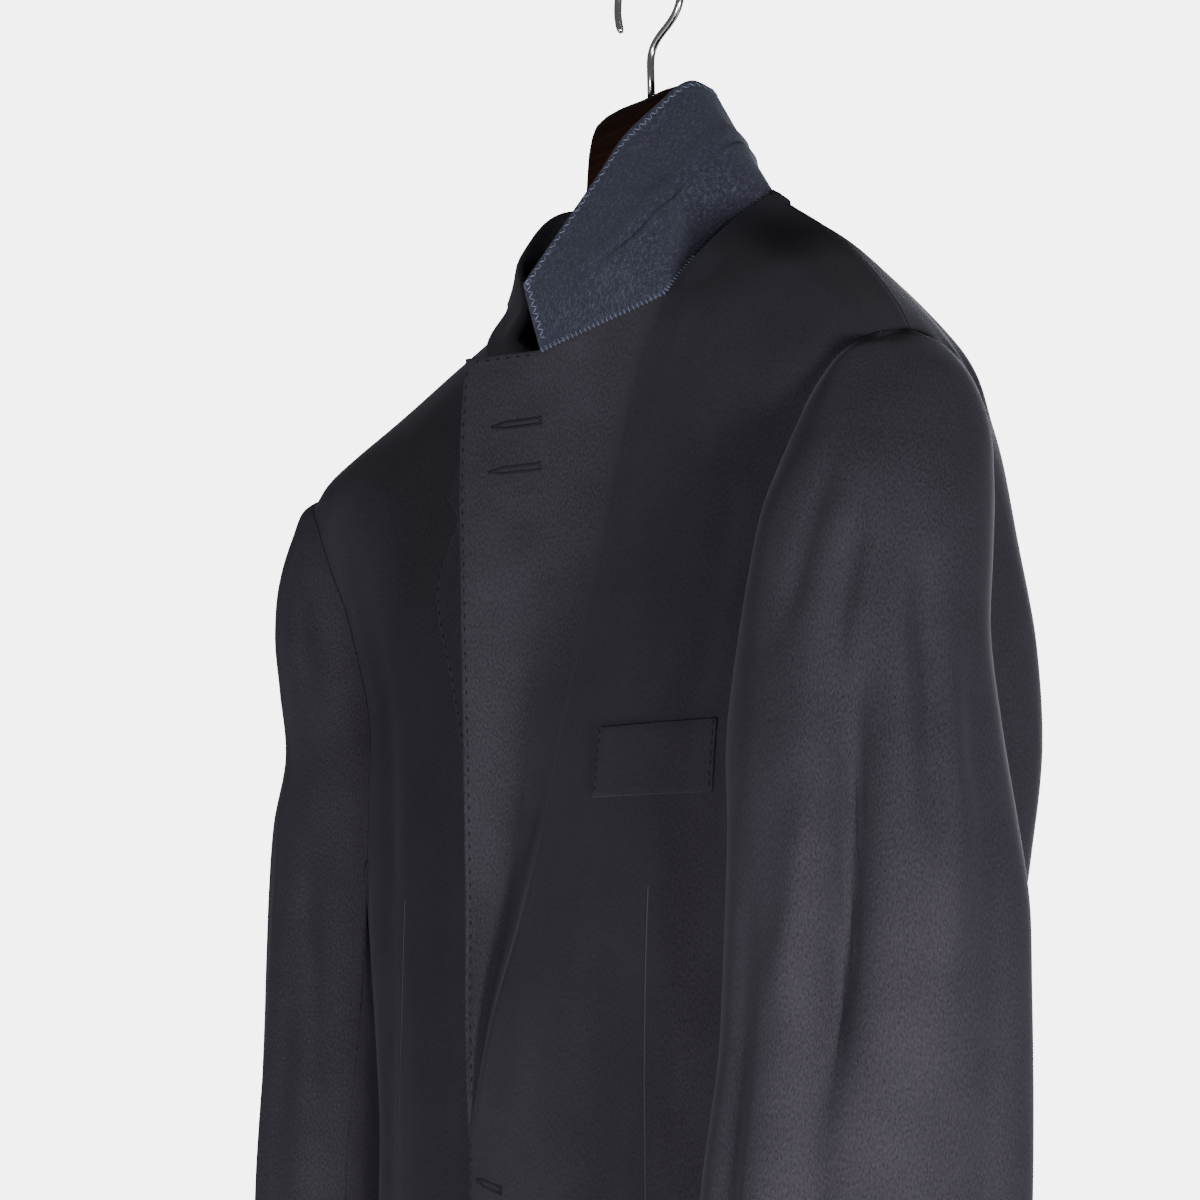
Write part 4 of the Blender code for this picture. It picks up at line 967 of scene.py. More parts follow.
def sleeveRelief(points, side):
    height = points[..., 2] - neckLevel
    levels = -np.array(sleeveTable["height"])
    middleX = np.interp(-height, levels, sleeveTable["x"])
    middleY = np.interp(-height, levels, sleeveTable["y"])
    swing = np.interp(-height, -np.array(bodyTable["height"]), bodyTable["turn"])
    middleY = middleY + swing * side * middleX
    turn = np.degrees(np.arctan2(points[..., 1] - neckSetback - middleY,
                                 side * points[..., 0] - middleX))
    total = slack(points)
    for row in reliefTables["sleeveLeft" if side > 0 else "sleeveRight"]:
        total = total + sleeveFold(row, turn, height)
    return total


def fixedEdge(grid, reach):
    # 0 at the named sides of a grid, rising to 1 within the stated metres of them
    down, across = pathLength(grid, 0), pathLength(grid, 1)
    gaps = {"top": down, "bottom": down[-1:] - down, "first": across,
            "last": across[:, -1:] - across}
    share = np.ones(grid.shape[:2])
    for name, far in reach.items():
        share = np.minimum(share, eased(gaps[name], 0, far))
    return share


def relieved(grid, normals, amount):
    moved = grid + normals * amount[..., None]
    return moved, gridNormals(moved, normals[middleOf(grid)])


# Materials.
def setInputs(node, values):
    for name, value in values.items():
        node.inputs[name].default_value = value


def newMaterial(name, colour, roughness, **inputs):
    # the material, its tree and shader, and the place on the object in metres
    material = bpy.data.materials.new(name)
    material.use_nodes = True
    tree = material.node_tree
    shader = tree.nodes["Principled BSDF"]
    setInputs(shader, {"Base Color": (*colour, 1.0), "Roughness": roughness})
    setInputs(shader, {key.replace("_", " "): value for key, value in inputs.items()})
    place = addNode(tree, "ShaderNodeTexCoord").outputs["Object"]
    return material, tree, shader, place


def addNode(tree, kind, **values):
    node = tree.nodes.new(kind)
    for name, value in values.items():
        setattr(node, name, value)
    return node


def noiseOf(tree, vector, scale, detail=2.0, rough=0.5, stretch=(1.0, 1.0, 1.0), turn=0.0):
    mapping = addNode(tree, "ShaderNodeMapping")
    setInputs(mapping, {"Scale": stretch, "Rotation": (0.0, 0.0, turn)})
    tree.links.new(vector, mapping.inputs["Vector"])
    texture = addNode(tree, "ShaderNodeTexNoise")
    setInputs(texture, {"Scale": scale, "Detail": detail, "Roughness": rough})
    tree.links.new(mapping.outputs["Vector"], texture.inputs["Vector"])
    return texture.outputs["Fac"]


def mathOf(tree, operation, *values):
    node = addNode(tree, "ShaderNodeMath", operation=operation)
    for socket, value in zip(node.inputs, values):
        if isinstance(value, (int, float)):
            socket.default_value = value
        else:
            tree.links.new(value, socket)
    return node.outputs["Value"]


def mixOf(tree, parts):
    # the sum of values, each with its share
    total, *rest = (mathOf(tree, "MULTIPLY", value, share) for value, share in parts)
    for value in rest:
        total = mathOf(tree, "ADD", total, value)
    return total


def rampOf(tree, value, stops, colours):
    node = addNode(tree, "ShaderNodeValToRGB")
    elements = node.color_ramp.elements
    while len(elements) < len(stops):
        elements.new(0.5)
    for element, place, colour in zip(elements, stops, colours):
        element.position = place
        element.color = (*colour, 1.0)
    tree.links.new(value, node.inputs["Fac"])
    return node.outputs["Color"]


def finishMaterial(tree, shader, colour, height, relief):
    if colour is not None:
        tree.links.new(colour, shader.inputs["Base Color"])
    bump = addNode(tree, "ShaderNodeBump")
    setInputs(bump, {"Strength": 1.0, "Distance": relief})
    tree.links.new(height, bump.inputs["Height"])
    tree.links.new(bump.outputs["Normal"], shader.inputs["Normal"])


# The chest's dart: distance, heights of its ends, half width, painted shade of its seam line (a
# colour factor) and sunk relief.
dartLine = {"x": 0.1276, "top": -0.292, "bottom": -0.490, "half": 0.0011, "shade": 0.55,
            "sink": 5.0}
twill = {
    "dark": (0.0074, 0.0062, 0.0090),
    "light": (0.0238, 0.0208, 0.0284),
    "roughness": 0.80,
    "pitch": 0.00060,
    "ribShare": 0.40,
    "lean": math.radians(58),
    "slub": (0.0010, 0.0016),
    "mottle": 26.0,
    "shares": (0.50, 0.34, 0.16),
    "stops": (0.36, 0.64),
    "relief": 0.00016,
    "sheen": 0.06,
    "bloom": (0.80, 0.80, 1.0, 1.0),
    "specular": 0.12,
}


def dartOf(tree, place):
    # 0 on the dart's seam, 1 away from it: the mask of the painted shade and of the sunk relief
    away = addNode(tree, "ShaderNodeAttribute", attribute_name="dart").outputs["Fac"]
    parts = addNode(tree, "ShaderNodeSeparateXYZ")
    tree.links.new(place, parts.inputs[0])
    middle = neckLevel + (dartLine["top"] + dartLine["bottom"]) / 2
    beyond = mathOf(tree, "ABSOLUTE", mathOf(tree, "SUBTRACT", parts.outputs["Z"], middle))
    beyond = mathOf(tree, "SUBTRACT", beyond, (dartLine["top"] - dartLine["bottom"]) / 2)
    away = mathOf(tree, "MAXIMUM", mathOf(tree, "ABSOLUTE", away), beyond)
    near = mathOf(tree, "MINIMUM", mathOf(tree, "DIVIDE", away, dartLine["half"]), 1.0)
    return mathOf(tree, "SMOOTH_MIN", near, 1.0, 0.3)


def twillMaterial(name, look, dart=False):
    # fine worsted twill: diagonal ribs, slubs and a soft bloom, and with darts a painted shade
    # along each dart's seam line
    material, tree, shader, place = newMaterial(
        name, look["light"], look["roughness"], Sheen_Weight=look["sheen"], Sheen_Roughness=0.45,
        Sheen_Tint=look["bloom"], Specular_IOR_Level=look["specular"])
    uv = addNode(tree, "ShaderNodeUVMap", uv_map="weave").outputs["UV"]
    ribs = (1 / look["pitch"], look["ribShare"] / look["pitch"], 1.0)
    slubs = (1 / look["slub"][0], 1 / look["slub"][1], 1.0)
    parts = (noiseOf(tree, uv, 1.0, 2.0, 0.6, ribs, look["lean"]),
             noiseOf(tree, uv, 1.0, 2.0, 0.7, slubs),
             noiseOf(tree, place, look["mottle"], 3.0, 0.6))
    height = mixOf(tree, zip(parts, look["shares"]))
    colour = rampOf(tree, height, look["stops"], (look["dark"], look["light"]))
    # the dart's seam line is darkened in colour: painted shade of the seam's groove, beside the
    # groove's own sunk bump relief
    if dart:
        near = dartOf(tree, place)
        line = addNode(tree, "ShaderNodeMix", data_type="RGBA", blend_type="MULTIPLY")
        line.inputs["Factor"].default_value = 1.0
        tree.links.new(colour, line.inputs["A"])
        shade = rampOf(tree, near, (0.0, 1.0), ((dartLine["shade"],) * 3, (1.0, 1.0, 1.0)))
        tree.links.new(shade, line.inputs["B"])
        colour = line.outputs["Result"]
        height = mathOf(tree, "ADD", height, mathOf(tree, "MULTIPLY", near, dartLine["sink"]))
    finishMaterial(tree, shader, colour, height, look["relief"])
    return material


felt = {
    "dark": (0.0028, 0.0028, 0.0074),
    "middle": (0.0104, 0.0104, 0.0206),
    "light": (0.0560, 0.0550, 0.0800),
    "roughness": 0.92,
    "nap": 0.00060,
    "longNap": 1.6,
    "mottle": 90.0,
    "shares": (0.56, 0.36, 0.08),
    "stops": (0.34, 0.50, 0.68),
    "relief": 0.00045,
    "sheen": 0.10,
    "bloom": (0.70, 0.78, 1.0, 1.0),
    "specular": 0.2,
}


def feltMaterial(name, look):
    # melton: short matted hairs with pale flecks
    material, tree, shader, place = newMaterial(
        name, look["middle"], look["roughness"], Sheen_Weight=look["sheen"], Sheen_Roughness=0.6,
        Sheen_Tint=look["bloom"], Specular_IOR_Level=look["specular"])
    parts = (noiseOf(tree, place, 1 / look["nap"], 3.0, 0.75),
             noiseOf(tree, place, 1 / (look["nap"] * look["longNap"]), 2.0, 0.6, (1.0, 0.45, 0.45),
                     0.6),
             noiseOf(tree, place, look["mottle"], 3.0, 0.6))
    height = mixOf(tree, zip(parts, look["shares"]))
    colour = rampOf(tree, height, look["stops"], (look["dark"], look["middle"], look["light"]))
    finishMaterial(tree, shader, colour, height, look["relief"])
    return material


wood = {
    "dark": (0.0082, 0.0034, 0.0022),
    "light": (0.0200, 0.0092, 0.0062),
    "roughness": 0.42,
    "gloss": (0.16, 0.36),
    "grain": 60.0,
    "pores": 260.0,
    "shares": (0.65, 0.35),
    "stops": (0.36, 0.66),
    "specular": 0.03,
    "relief": 0.00006,
}


def woodMaterial(name, look):
    # dark stained beech under lacquer, grain along the arms
    material, tree, shader, place = newMaterial(name, look["dark"], look["roughness"],
                                                Specular_IOR_Level=look["specular"])
    grain = noiseOf(tree, place, look["grain"], 4.0, 0.6, (0.35, 4.0, 6.0))
    pores = noiseOf(tree, place, look["pores"], 2.0, 0.6, (0.12, 3.0, 3.0))
    mixed = mixOf(tree, zip((grain, pores), look["shares"]))
    colour = rampOf(tree, mixed, look["stops"], (look["dark"], look["light"]))
    finishMaterial(tree, shader, colour, pores, look["relief"])
    rough = mathOf(tree, "MULTIPLY_ADD", grain, *look["gloss"])
    tree.links.new(rough, shader.inputs["Roughness"])
    return material


wire = {"colour": (0.62, 0.61, 0.60), "roughness": 0.16, "gloss": (0.14, 0.10), "drawn": 900.0,
        "relief": 0.00001}


def wireMaterial(name, look):
    # bright wire, drawn lengthways
    material, tree, shader, place = newMaterial(name, look["colour"], look["roughness"],
                                                Metallic=1.0)
    drawn = noiseOf(tree, place, look["drawn"], 2.0, 0.5, (1.0, 1.0, 0.05))
    finishMaterial(tree, shader, None, drawn, look["relief"])
    rough = mathOf(tree, "MULTIPLY_ADD", drawn, *look["gloss"])
    tree.links.new(rough, shader.inputs["Roughness"])
    return material


twist = {"size": 2600.0, "stops": (0.35, 0.65), "shades": (0.65, 1.35), "relief": 0.00005}


def threadMaterial(name, colour, look):
    # twisted thread
    material, tree, shader, place = newMaterial(name, colour, 0.7, Specular_IOR_Level=0.15)
    height = noiseOf(tree, place, look["size"], 2.0, 0.6)
    colours = [tuple(value * share for value in colour) for share in look["shades"]]
    finishMaterial(tree, shader, rampOf(tree, height, look["stops"], colours), height,
                   look["relief"])
    return material


horn = {"colour": (0.012, 0.011, 0.014), "dark": (0.006, 0.006, 0.009),
        "light": (0.030, 0.027, 0.030), "stops": (0.35, 0.7), "roughness": 0.3,
        "gloss": (0.2, 0.22), "swirl": 130.0}


def hornMaterial(name, look):
    # a button's clouded horn
    material, tree, shader, place = newMaterial(name, look["colour"], look["roughness"])
    swirl = noiseOf(tree, place, look["swirl"], 3.0, 0.6, (1.0, 2.5, 1.0))
    colour = rampOf(tree, swirl, look["stops"], (look["dark"], look["light"]))
    rough = mathOf(tree, "MULTIPLY_ADD", swirl, *look["gloss"])
    tree.links.new(colour, shader.inputs["Base Color"])
    tree.links.new(rough, shader.inputs["Roughness"])
    return material


# The sewing thread is a dark thread, set darker than the cloth so that its stitches read as dark
# dimples: partly its own colour, partly painted shade of the dimples.
threadColours = {
    "sewing thread with painted dimple shade": (0.0018, 0.0016, 0.0024),
    "buttonhole thread": (0.0075, 0.0072, 0.0095),
    "collar thread": (0.0950, 0.1080, 0.1650),
}
cloth = twillMaterial("worsted twill", twill)
# the fronts' twill, with painted shade darkening the darts' seam lines
chestCloth = twillMaterial("worsted twill with darts and painted dart shade", twill, dart=True)
melton = feltMaterial("melton felt", felt)
darkWood = woodMaterial("stained wood", wood)
brightWire = wireMaterial("polished wire", wire)
clothThread, holeThread, blueThread = (threadMaterial(name, colour, twist)
                                       for name, colour in threadColours.items())
buttonHorn = hornMaterial("button", horn)
print("materials ready")


# Panels.
def shapedGrid(coarse, coarseNormals, first=(), last=(), top=(), cell=fineCell):
    # a finer grid whose own edges have corners, with its normals and its rows per coarse row
    down = factorFor(coarse, 0, cell)
    across = factorFor(coarse, 1, cell)
    last0, last1 = coarse.shape[0] - 1, coarse.shape[1] - 1
    tall = hermite(coarse, down, [0, last0])
    tall[:, 0] = hermite(coarse[:, 0], down, [0, *first, last0])
    tall[:, -1] = hermite(coarse[:, -1], down, [0, *last, last0])
    wide = hermite(tall.swapaxes(0, 1), across, [0, last1]).swapaxes(0, 1)
    wide[0] = hermite(coarse[0], across, [0, *top, last1])
    return wide, gridNormals(wide, coarseNormals[middleOf(coarse)]), down


def planarRelief(points, rows):
    # distance and height of each fold's two ends, depth and half width
    heading = points[..., 0]
    height = points[..., 2] - neckLevel
    total = np.zeros(points.shape[:-1])
    for one, high, two, low, depth, half in rows:
        span = np.array((two - one, low - high))
        size = np.linalg.norm(span)
        span = span / size
        along = ((heading - one) * span[0] + (height - high) * span[1]) / size
        away = (heading - one) * -span[1] + (height - high) * span[0]
        fold = np.exp(-(away / half) ** 2)
        total = total + depth * foldEnds(along, *foldReach["body"]) * fold
    return total


def armholeFade(points, side, reach=0.022):
    # 0 at the armhole, rising to 1 within reach metres of it
    cells = (armholeLine(side, "front") + armholeLine(side, "under")
             + armholeLine(side, "back")[::-1])
    line = np.array([body(side, *cell) for cell in cells])
    nearest = np.full(points.shape[:-1], 9.0)
    for spot in hermite(line, 4, [0, len(line) - 1]):
        nearest = np.minimum(nearest, np.linalg.norm(points - spot, axis=-1))
    return eased(nearest, 0, reach)


def foldedPanel(grid, normals, side, folds, reach):
    # slack and folds on a panel, fading out at its named edges and at the armhole
    hold = np.minimum(fixedEdge(grid, reach), armholeFade(grid, side))
    return relieved(grid, normals, (slack(grid) + planarRelief(grid, folds)) * hold)


def foldedSleeve(side, coarse, coarseNormals, **corners):
    grid, normals, _ = shapedGrid(coarse, coarseNormals, **corners)
    return relieved(grid, normals, sleeveRelief(grid, side) * armholeFade(grid, side, 0.030))


lapelCells = {"left": 5, "right": 4, "facing": 5}  # finer columns for each of a lapel's
lapelRelief = (
    (0.004, -0.116, 0.030, -0.131, -0.0009, 0.0055),
    (0.010, -0.150, 0.034, -0.142, 0.0008, 0.0080),
    (0.002, -0.160, 0.016, -0.168, -0.0007, 0.0060),
    (0.004, -0.220, 0.020, -0.190, -0.0010, 0.0090),
    (0.000, -0.285, 0.010, -0.240, 0.0010, 0.0080),
    (0.030, -0.090, 0.060, -0.066, 0.0006, 0.0090),
)
gorgeCrease = (0.0500, -0.0525, 0.0745, -0.0590, -0.0009, 0.0032)
# How far each row of the lapel falls back towards its low end, which way, and each column's share.
lapelSink = {
    "depths": (0, 0, 0, 0.001, 0.004, 0.008, 0.012, 0.013, 0.007),
    "way": (-0.81, 0.57, 0.0),
    "shares": (0.95, 1.15, 1.0, 0.6, 0.0),
}


def dartMark(side):
    def values(points):
        return side * points[:, 0] - dartLine["x"]
    return values


def sunkLapel(lapel):
    moved = lapel.copy()
    for k, depth in enumerate(lapelSink["depths"]):
        for j, share in enumerate(lapelSink["shares"]):
            moved[k, j] = lapel[k, j] + np.array(lapelSink["way"]) * depth * share
    return moved


def lapelRows(lapel, chest, down, corners=()):
    # a lapel's finer rows: its outer edge has corners, and its inner edge follows the chest's
    last = lapel.shape[0] - 1
    rows = hermite(lapel, down, [0, last])
    rows[:, 0] = hermite(lapel[:, 0], down, [0, *corners, last])
    edge = hermite(chest[:, 0], down, [0, lapelTop, lapelEnd, chest.shape[0] - 1])
    rows[:, -1] = edge[lapelTop * down:lapelEnd * down + 1]
    return rows.swapaxes(0, 1)


def chestPanel(side, chest, chestNormals, folds, reach):
    grid, normals, down = shapedGrid(chest, chestNormals, first=(lapelTop, lapelEnd),
                                     last=(len(armholeFront) - 1,))
    return foldedPanel(grid, normals, side, folds, reach), down


def leftPanels():
    chest, chestNormals, lapel = leftFront()
    chestFine, down = chestPanel(1, chest, chestNormals, bodyRelief["front"] + (gorgeCrease,),
                                 {"first": 0.014, "top": 0.014, "last": 0.014})
    lapel = sunkLapel(lapel)
    finer = lapelCells["left"]
    wide = hermite(lapelRows(lapel, chest, down), finer, [0, 4]).swapaxes(0, 1)
    wide[0] = hermite(lapel[0], finer, [0, 2, 4])
    lapelFine = gridNormals(wide, np.array((0.3, -1.0, 0.2)))
    hold = fixedEdge(wide, {"last": 0.014, "bottom": 0.014})
    moved = relieved(wide, lapelFine, planarRelief(wide, lapelRelief) * hold)
    moved[1][-1] = chestFine[1][lapelEnd * down, 0]
    return [chestFine, moved]


def rightPanels():
    chest, chestNormals, flap, _ = rolledLapel()
    chestFine, down = chestPanel(-1, chest, chestNormals, bodyRelief["front"],
                                 {"first": 0.05, "top": 0.05, "last": 0.014})
    rows = lapelRows(flap[:, ::-1], chest, down, corners=(1,))
    wide = hermite(rows, lapelCells["right"], [0, flap.shape[1] - 1]).swapaxes(0, 1)
    fine = gridNormals(wide, np.array((0.0, 1.0, 0.0)), (wide.shape[0] // 3, 4))
    fine[-1] = chestFine[1][lapelEnd * down, 0]
    return [chestFine, (wide, fine)]


pieces = {}
grids = {"frontLeft": leftPanels(), "frontRight": rightPanels()}
for side, word in ((1, "Left"), (-1, "Right")):
    grid, normals, _ = shapedGrid(*backPanel(side), last=(len(armholeBack[side]) - 1,), top=(3,))
    grids["back" + word] = [foldedPanel(grid, normals, side, bodyRelief["back"],
                                        {"top": 0.016, "first": 0.012, "last": 0.012})]
    grid, normals, _ = shapedGrid(*sidePanel(side))
    grids["side" + word] = [foldedPanel(grid, normals, side, (), {"first": 0.012, "last": 0.012})]
    tube = Tube(side)
    coarse, front, back = topSleeve(side, tube)
    grids["topSleeve" + word] = [foldedSleeve(side, *coarse, first=(len(armholeFront) - 1,),
                                              last=(hindSeam,), cell=sleeveCell)]
    coarse = underSleeve(side, tube, front, back)
    grids["underSleeve" + word] = [foldedSleeve(side, *coarse)]

# The vent: the coarse row of its top, the underlap's width and columns, the gap behind it, and
# how much of that closes towards its edge.
ventLook = {"row": 9, "width": 0.028, "columns": 7, "clear": 0.0026, "closes": 0.7}


def ventLap(left, right):
    # the left back's turned edge below the vent's top, lying inside the right back
    total = left.shape[0] - 1
    top = total * ventLook["row"] // (len(outerLine(1, "back")) - 1)
    edge = left[top:, 0]
    lap = np.zeros((edge.shape[0], ventLook["columns"] + 1, 3))
    lap[:, -1] = edge
    for i, (x, y, z) in enumerate(edge):
        row = right[min(round((top + i) * (right.shape[0] - 1) / total), right.shape[0] - 1)]
        away = np.abs(row[:, 0] - row[0, 0])
        gap = max(row[0, 1] - y, 0.0)
        for k in range(ventLook["columns"]):
            share = 1 - k / ventLook["columns"]
            far = ventLook["width"] * share
            sink = max(gap * (1 - ventLook["closes"] * share), ventLook["clear"])
            lap[i, k] = (x - far, np.interp(far, away, row[:, 1]) - sink, z)
    return lap, gridNormals(lap, np.array((0.0, 1.0, 0.0)))


grids["backLeft"].append(ventLap(grids["backLeft"][0][0], grids["backRight"][0][0]))
print("fine grids ready")

nodeOf = {
    "frontLeft": "front_left", "frontRight": "front_right", "backLeft": "back_left",
    "backRight": "back_right", "sideLeft": "side_left", "sideRight": "side_right",
    "topSleeveLeft": "top_sleeve_left", "topSleeveRight": "top_sleeve_right",
    "underSleeveLeft": "under_sleeve_left", "underSleeveRight": "under_sleeve_right",
}
for name, node in nodeOf.items():
    side = 1 if "Left" in name else -1
    front = name.startswith("front")
    marks = {"dart": dartMark(side)} if front else None
    pieces[name] = clothWall(name, grids[name], wall, chestCloth if front else cloth, marks=marks)
    if not front:
        sheetPiece(pieces[name], grids[name], [node])


# Facing, collar and pocket pieces.
facing, _ = rightFlap(2 * rollRadius + wall + seamGap, 4)
facing = refine(facing[:-1], factorFor(facing, 0), lapelCells["facing"])
facingUps = gridNormals(facing, np.array((-0.3, -1.0, 0.2)))
grids["facingRight"] = [(facing, facingUps)]
pieces["facingRight"] = clothWall("facingRight", grids["facingRight"], wall, cloth, out=wall)
sheetPiece(pieces["facingRight"], grids["facingRight"], ["facing_right"])

# The collar, with places in rows and columns of collarTable: rows where its fold and its seam
# have corners, the rolls beside the crest, the valley over the left shoulder, the fading ends,
# the last row whose seam edge reaches down to the neckline and how far it does, how far in from
# the felt's edge the top cloth's stands, and a place on the back.
collarLook = {
    "cell": 0.0036,
    "columns": 4,
    "corners": (16,),
    "seamCorners": (2, 5, 8, 11, 13, 14),
    "ridge": {"depth": 0.0016, "columns": (2.1, 3.3), "width": 0.35, "rows": (0.6, 2.0, 6.0, 8.0)},
    "valley": {"depth": 0.0055, "row": 3.6, "width": 0.55, "side": 0.7},
    "hold": (0.0, 1.2, 10.0, 12.0),
    "seamRow": 14,
    "seamReach": 0.0020,
    "topEdge": 0.0009,
    "hind": (8, 5),
}


def between(values, low, lowFull, highFull, high):
    # 1 between two places, fading out to 0 on both sides
    return eased(values, low, lowFull) * (1 - eased(values, highFull, high))


def collarFine(look):
    coarse = collarRows()
    down = factorFor(coarse, 0, look["cell"])
    last = coarse.shape[0] - 1
    tall = hermite(coarse, down, [0, *look["corners"], last])
    tall[:, 0] = hermite(coarse[:, 0], down, [0, *look["seamCorners"], last])
    fine = hermite(tall.swapaxes(0, 1), look["columns"], [0, 6]).swapaxes(0, 1)
    hind = (look["hind"][0] * down, look["hind"][1] * look["columns"])
    fold = gridNormals(fine, fine[hind] - placed(0.0, 0.0, 0.05), hind)
    row = np.arange(fine.shape[0])[:, None] / down
    column = np.arange(fine.shape[1])[None] / look["columns"]
    ridge, valley = look["ridge"], look["valley"]
    side = (np.clip(column / valley["side"], 0, 1)
            * np.clip((coarse.shape[1] - 1 - column) / valley["side"], 0, 1))
    crest = sum(np.exp(-((column - at) / ridge["width"]) ** 2) for at in ridge["columns"])
    sink = np.exp(-((row - valley["row"]) / valley["width"]) ** 2) * side
    amount = crest * between(row, *ridge["rows"]) * ridge["depth"] - sink * valley["depth"]
    moved = fine + fold * (amount * between(row, *look["hold"]))[..., None]
    fresh = gridNormals(moved, fold[hind], hind)
    sewn = slice(0, look["seamRow"] * down + 1)
    way = moved[sewn, 0] - moved[sewn, 1]
    moved[sewn, 0] += way / np.linalg.norm(way, axis=1, keepdims=True) * look["seamReach"]
    return moved, fresh, down


collarPoints, collarNormals, collarDown = collarFine(collarLook)
grids["underCollar"] = [(collarPoints, collarNormals)]
pieces["underCollar"] = clothWall("underCollar", grids["underCollar"], collarWall, melton,
                                  out=collarWall + seamGap / 2, inset=0.0)
pieces["topCollar"] = clothWall("topCollar", grids["underCollar"], collarWall, cloth,
                                out=-seamGap / 2, inset=collarLook["topEdge"])
sheetPiece(pieces["topCollar"], grids["underCollar"], ["top_collar"])


def onSurface(fine, x, height):
    # the point of a fine grid in front of (x, height), with its normal
    grid, normals = fine
    flat = grid.reshape(-1, 3)
    away = (flat[:, 0] - x) ** 2 + (flat[:, 2] - neckLevel - height) ** 2
    near = np.argsort(away)[:4]
    weight = 1 / (away[near] + tiny)
    weight = (weight / weight.sum())[:, None]
    normal = unit((normals.reshape(-1, 3)[near] * weight).sum(axis=0))
    spot = (flat[near] * weight).sum(axis=0)
    wanted = np.array((x, spot[1], height + neckLevel))
    wanted[1] += np.dot(spot - wanted, normal) / normal[1]
    return wanted, normal


def raisedFine(fine, corners, columns, rows, lift):
    # a small grid on a panel between four corners given as (distance, height)
    grid = np.zeros((rows + 1, columns + 1, 3))
    normals = np.zeros_like(grid)
    for i, j in np.ndindex(rows + 1, columns + 1):
        one = blend(corners[0], corners[2], i / rows)
        two = blend(corners[1], corners[3], i / rows)
        point, normals[i, j] = onSurface(fine, *blend(one, two, j / columns))
        grid[i, j] = point + normals[i, j] * lift
    return grid, normals


pocketLook = {
    "lift": 0.00010,
    "thick": 0.0011,
    "weltCells": (28, 8),
    "flapCells": (32, 16),
    "flapBulge": 0.0012,
}


def pocketPiece(name, node, panel, grid, normals):
    grids[name] = [(grid, normals)]
    pieces[name] = clothWall(name, grids[name], pocketLook["thick"], cloth,
                             out=pocketLook["thick"], inset=0.0)
    sheetPiece(pieces[name], grids[name], [node])


pocketPiece("breastWelt", "breast_welt", "frontLeft",
            *raisedFine(grids["frontLeft"][0], chestWelt, *pocketLook["weltCells"],
                        pocketLook["lift"]))
for side, word in ((1, "Left"), (-1, "Right")):
    corners = [(side * x, height) for x, height in hipFlap]
    columns, rows = pocketLook["flapCells"]
    grid, normals = raisedFine(grids["front" + word][0], corners, columns, rows,
                               pocketLook["lift"])
    share = (np.linspace(0, 1, rows + 1)[:, None]
             * np.sin(np.linspace(0, math.pi, columns + 1))[None])
    grid = grid + normals * (share * pocketLook["flapBulge"])[..., None]
    pocketPiece("flap" + word, "flap_" + word.lower(), "front" + word, grid, normals)
print("collar and pockets ready")


# A button's rim and points around, and its thread: distance from the middle, half the distance
# between two strands, length and radius.
buttonLook = {
    "rim": 0.0012,
    "segments": 40,
    "holeRing": 0.0021,
    "strand": 0.0003,
    "threadLength": 0.0048,
    "threadRadius": 0.0004,
}


def ringMesh(name, rings, material, capFirst, capLast):
    # rings of equally many points joined into a closed smooth mesh
    around = len(rings[0])
    vertices = [point for ring in rings for point in ring]
    faces = [(i * around + k, i * around + (k + 1) % around,
              (i + 1) * around + (k + 1) % around, (i + 1) * around + k)
             for i in range(len(rings) - 1) for k in range(around)]
    faces.append(tuple(range(around))[::capFirst])
    faces.append(tuple(range((len(rings) - 1) * around, len(rings) * around))[::capLast])
    mesh = bpy.data.meshes.new(name)
    mesh.from_pydata(vertices, [], faces)
    work = bmesh.new()
    work.from_mesh(mesh)
    bmesh.ops.recalc_face_normals(work, faces=work.faces[:])
    work.to_mesh(mesh)
    work.free()
    mesh.polygons.foreach_set("use_smooth", [True] * len(mesh.polygons))
    mesh.materials.append(material)
    return mesh


def circleOf(around):
    return [2 * math.pi * k / around for k in range(around)]


def button(name, height, look):
    # the button with its place on the cloth
    thick = buttonTable["thick"]
    radius = buttonTable["radius"]
    centre, normal = rightPoint(height, buttonTable["distance"], seamGap)
    rim = look["rim"]
    profile = ((radius * 0.55, 0.0), (radius * 0.93, 0.0004), (radius, thick * 0.45),
               (radius * 0.985, thick * 0.8), (radius * 0.93, thick), (radius * 0.86, thick),
               (radius * 0.79, thick - rim * 0.5), (radius * 0.70, thick - rim * 0.75),
               (radius * 0.4, thick - rim * 0.6), (radius * 0.02, thick - rim * 0.5))
    rings = [[(far * math.cos(angle), far * math.sin(angle), high)
              for angle in circleOf(look["segments"])] for far, high in profile]
    mesh = ringMesh(name, rings, buttonHorn, -1, 1)
    turn = Vector((0, 0, 1)).rotation_difference(Vector(normal)).to_matrix().to_4x4()
    turn.translation = Vector(centre)
    mesh.transform(turn)
    return linked(name, mesh), normal, turn


buttonThreads = []
for word in ("upper", "lower"):
    name = "button" + word.capitalize()
    piece, normal, turn = button(name, buttonTable[word], buttonLook)
    pieces[name] = piece
    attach(piece, "root")
    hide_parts("button_" + word)
    ring = buttonLook["holeRing"]
    high = buttonTable["thick"] - buttonLook["rim"] * 0.45
    for x in (-ring, ring):
        for shift in (-buttonLook["strand"], buttonLook["strand"]):
            ends = [np.array(turn @ Vector((x + shift, y, high))) for y in (-ring, ring)]
            buttonThreads.append((*ends, np.array(normal)))
print("buttons ready")


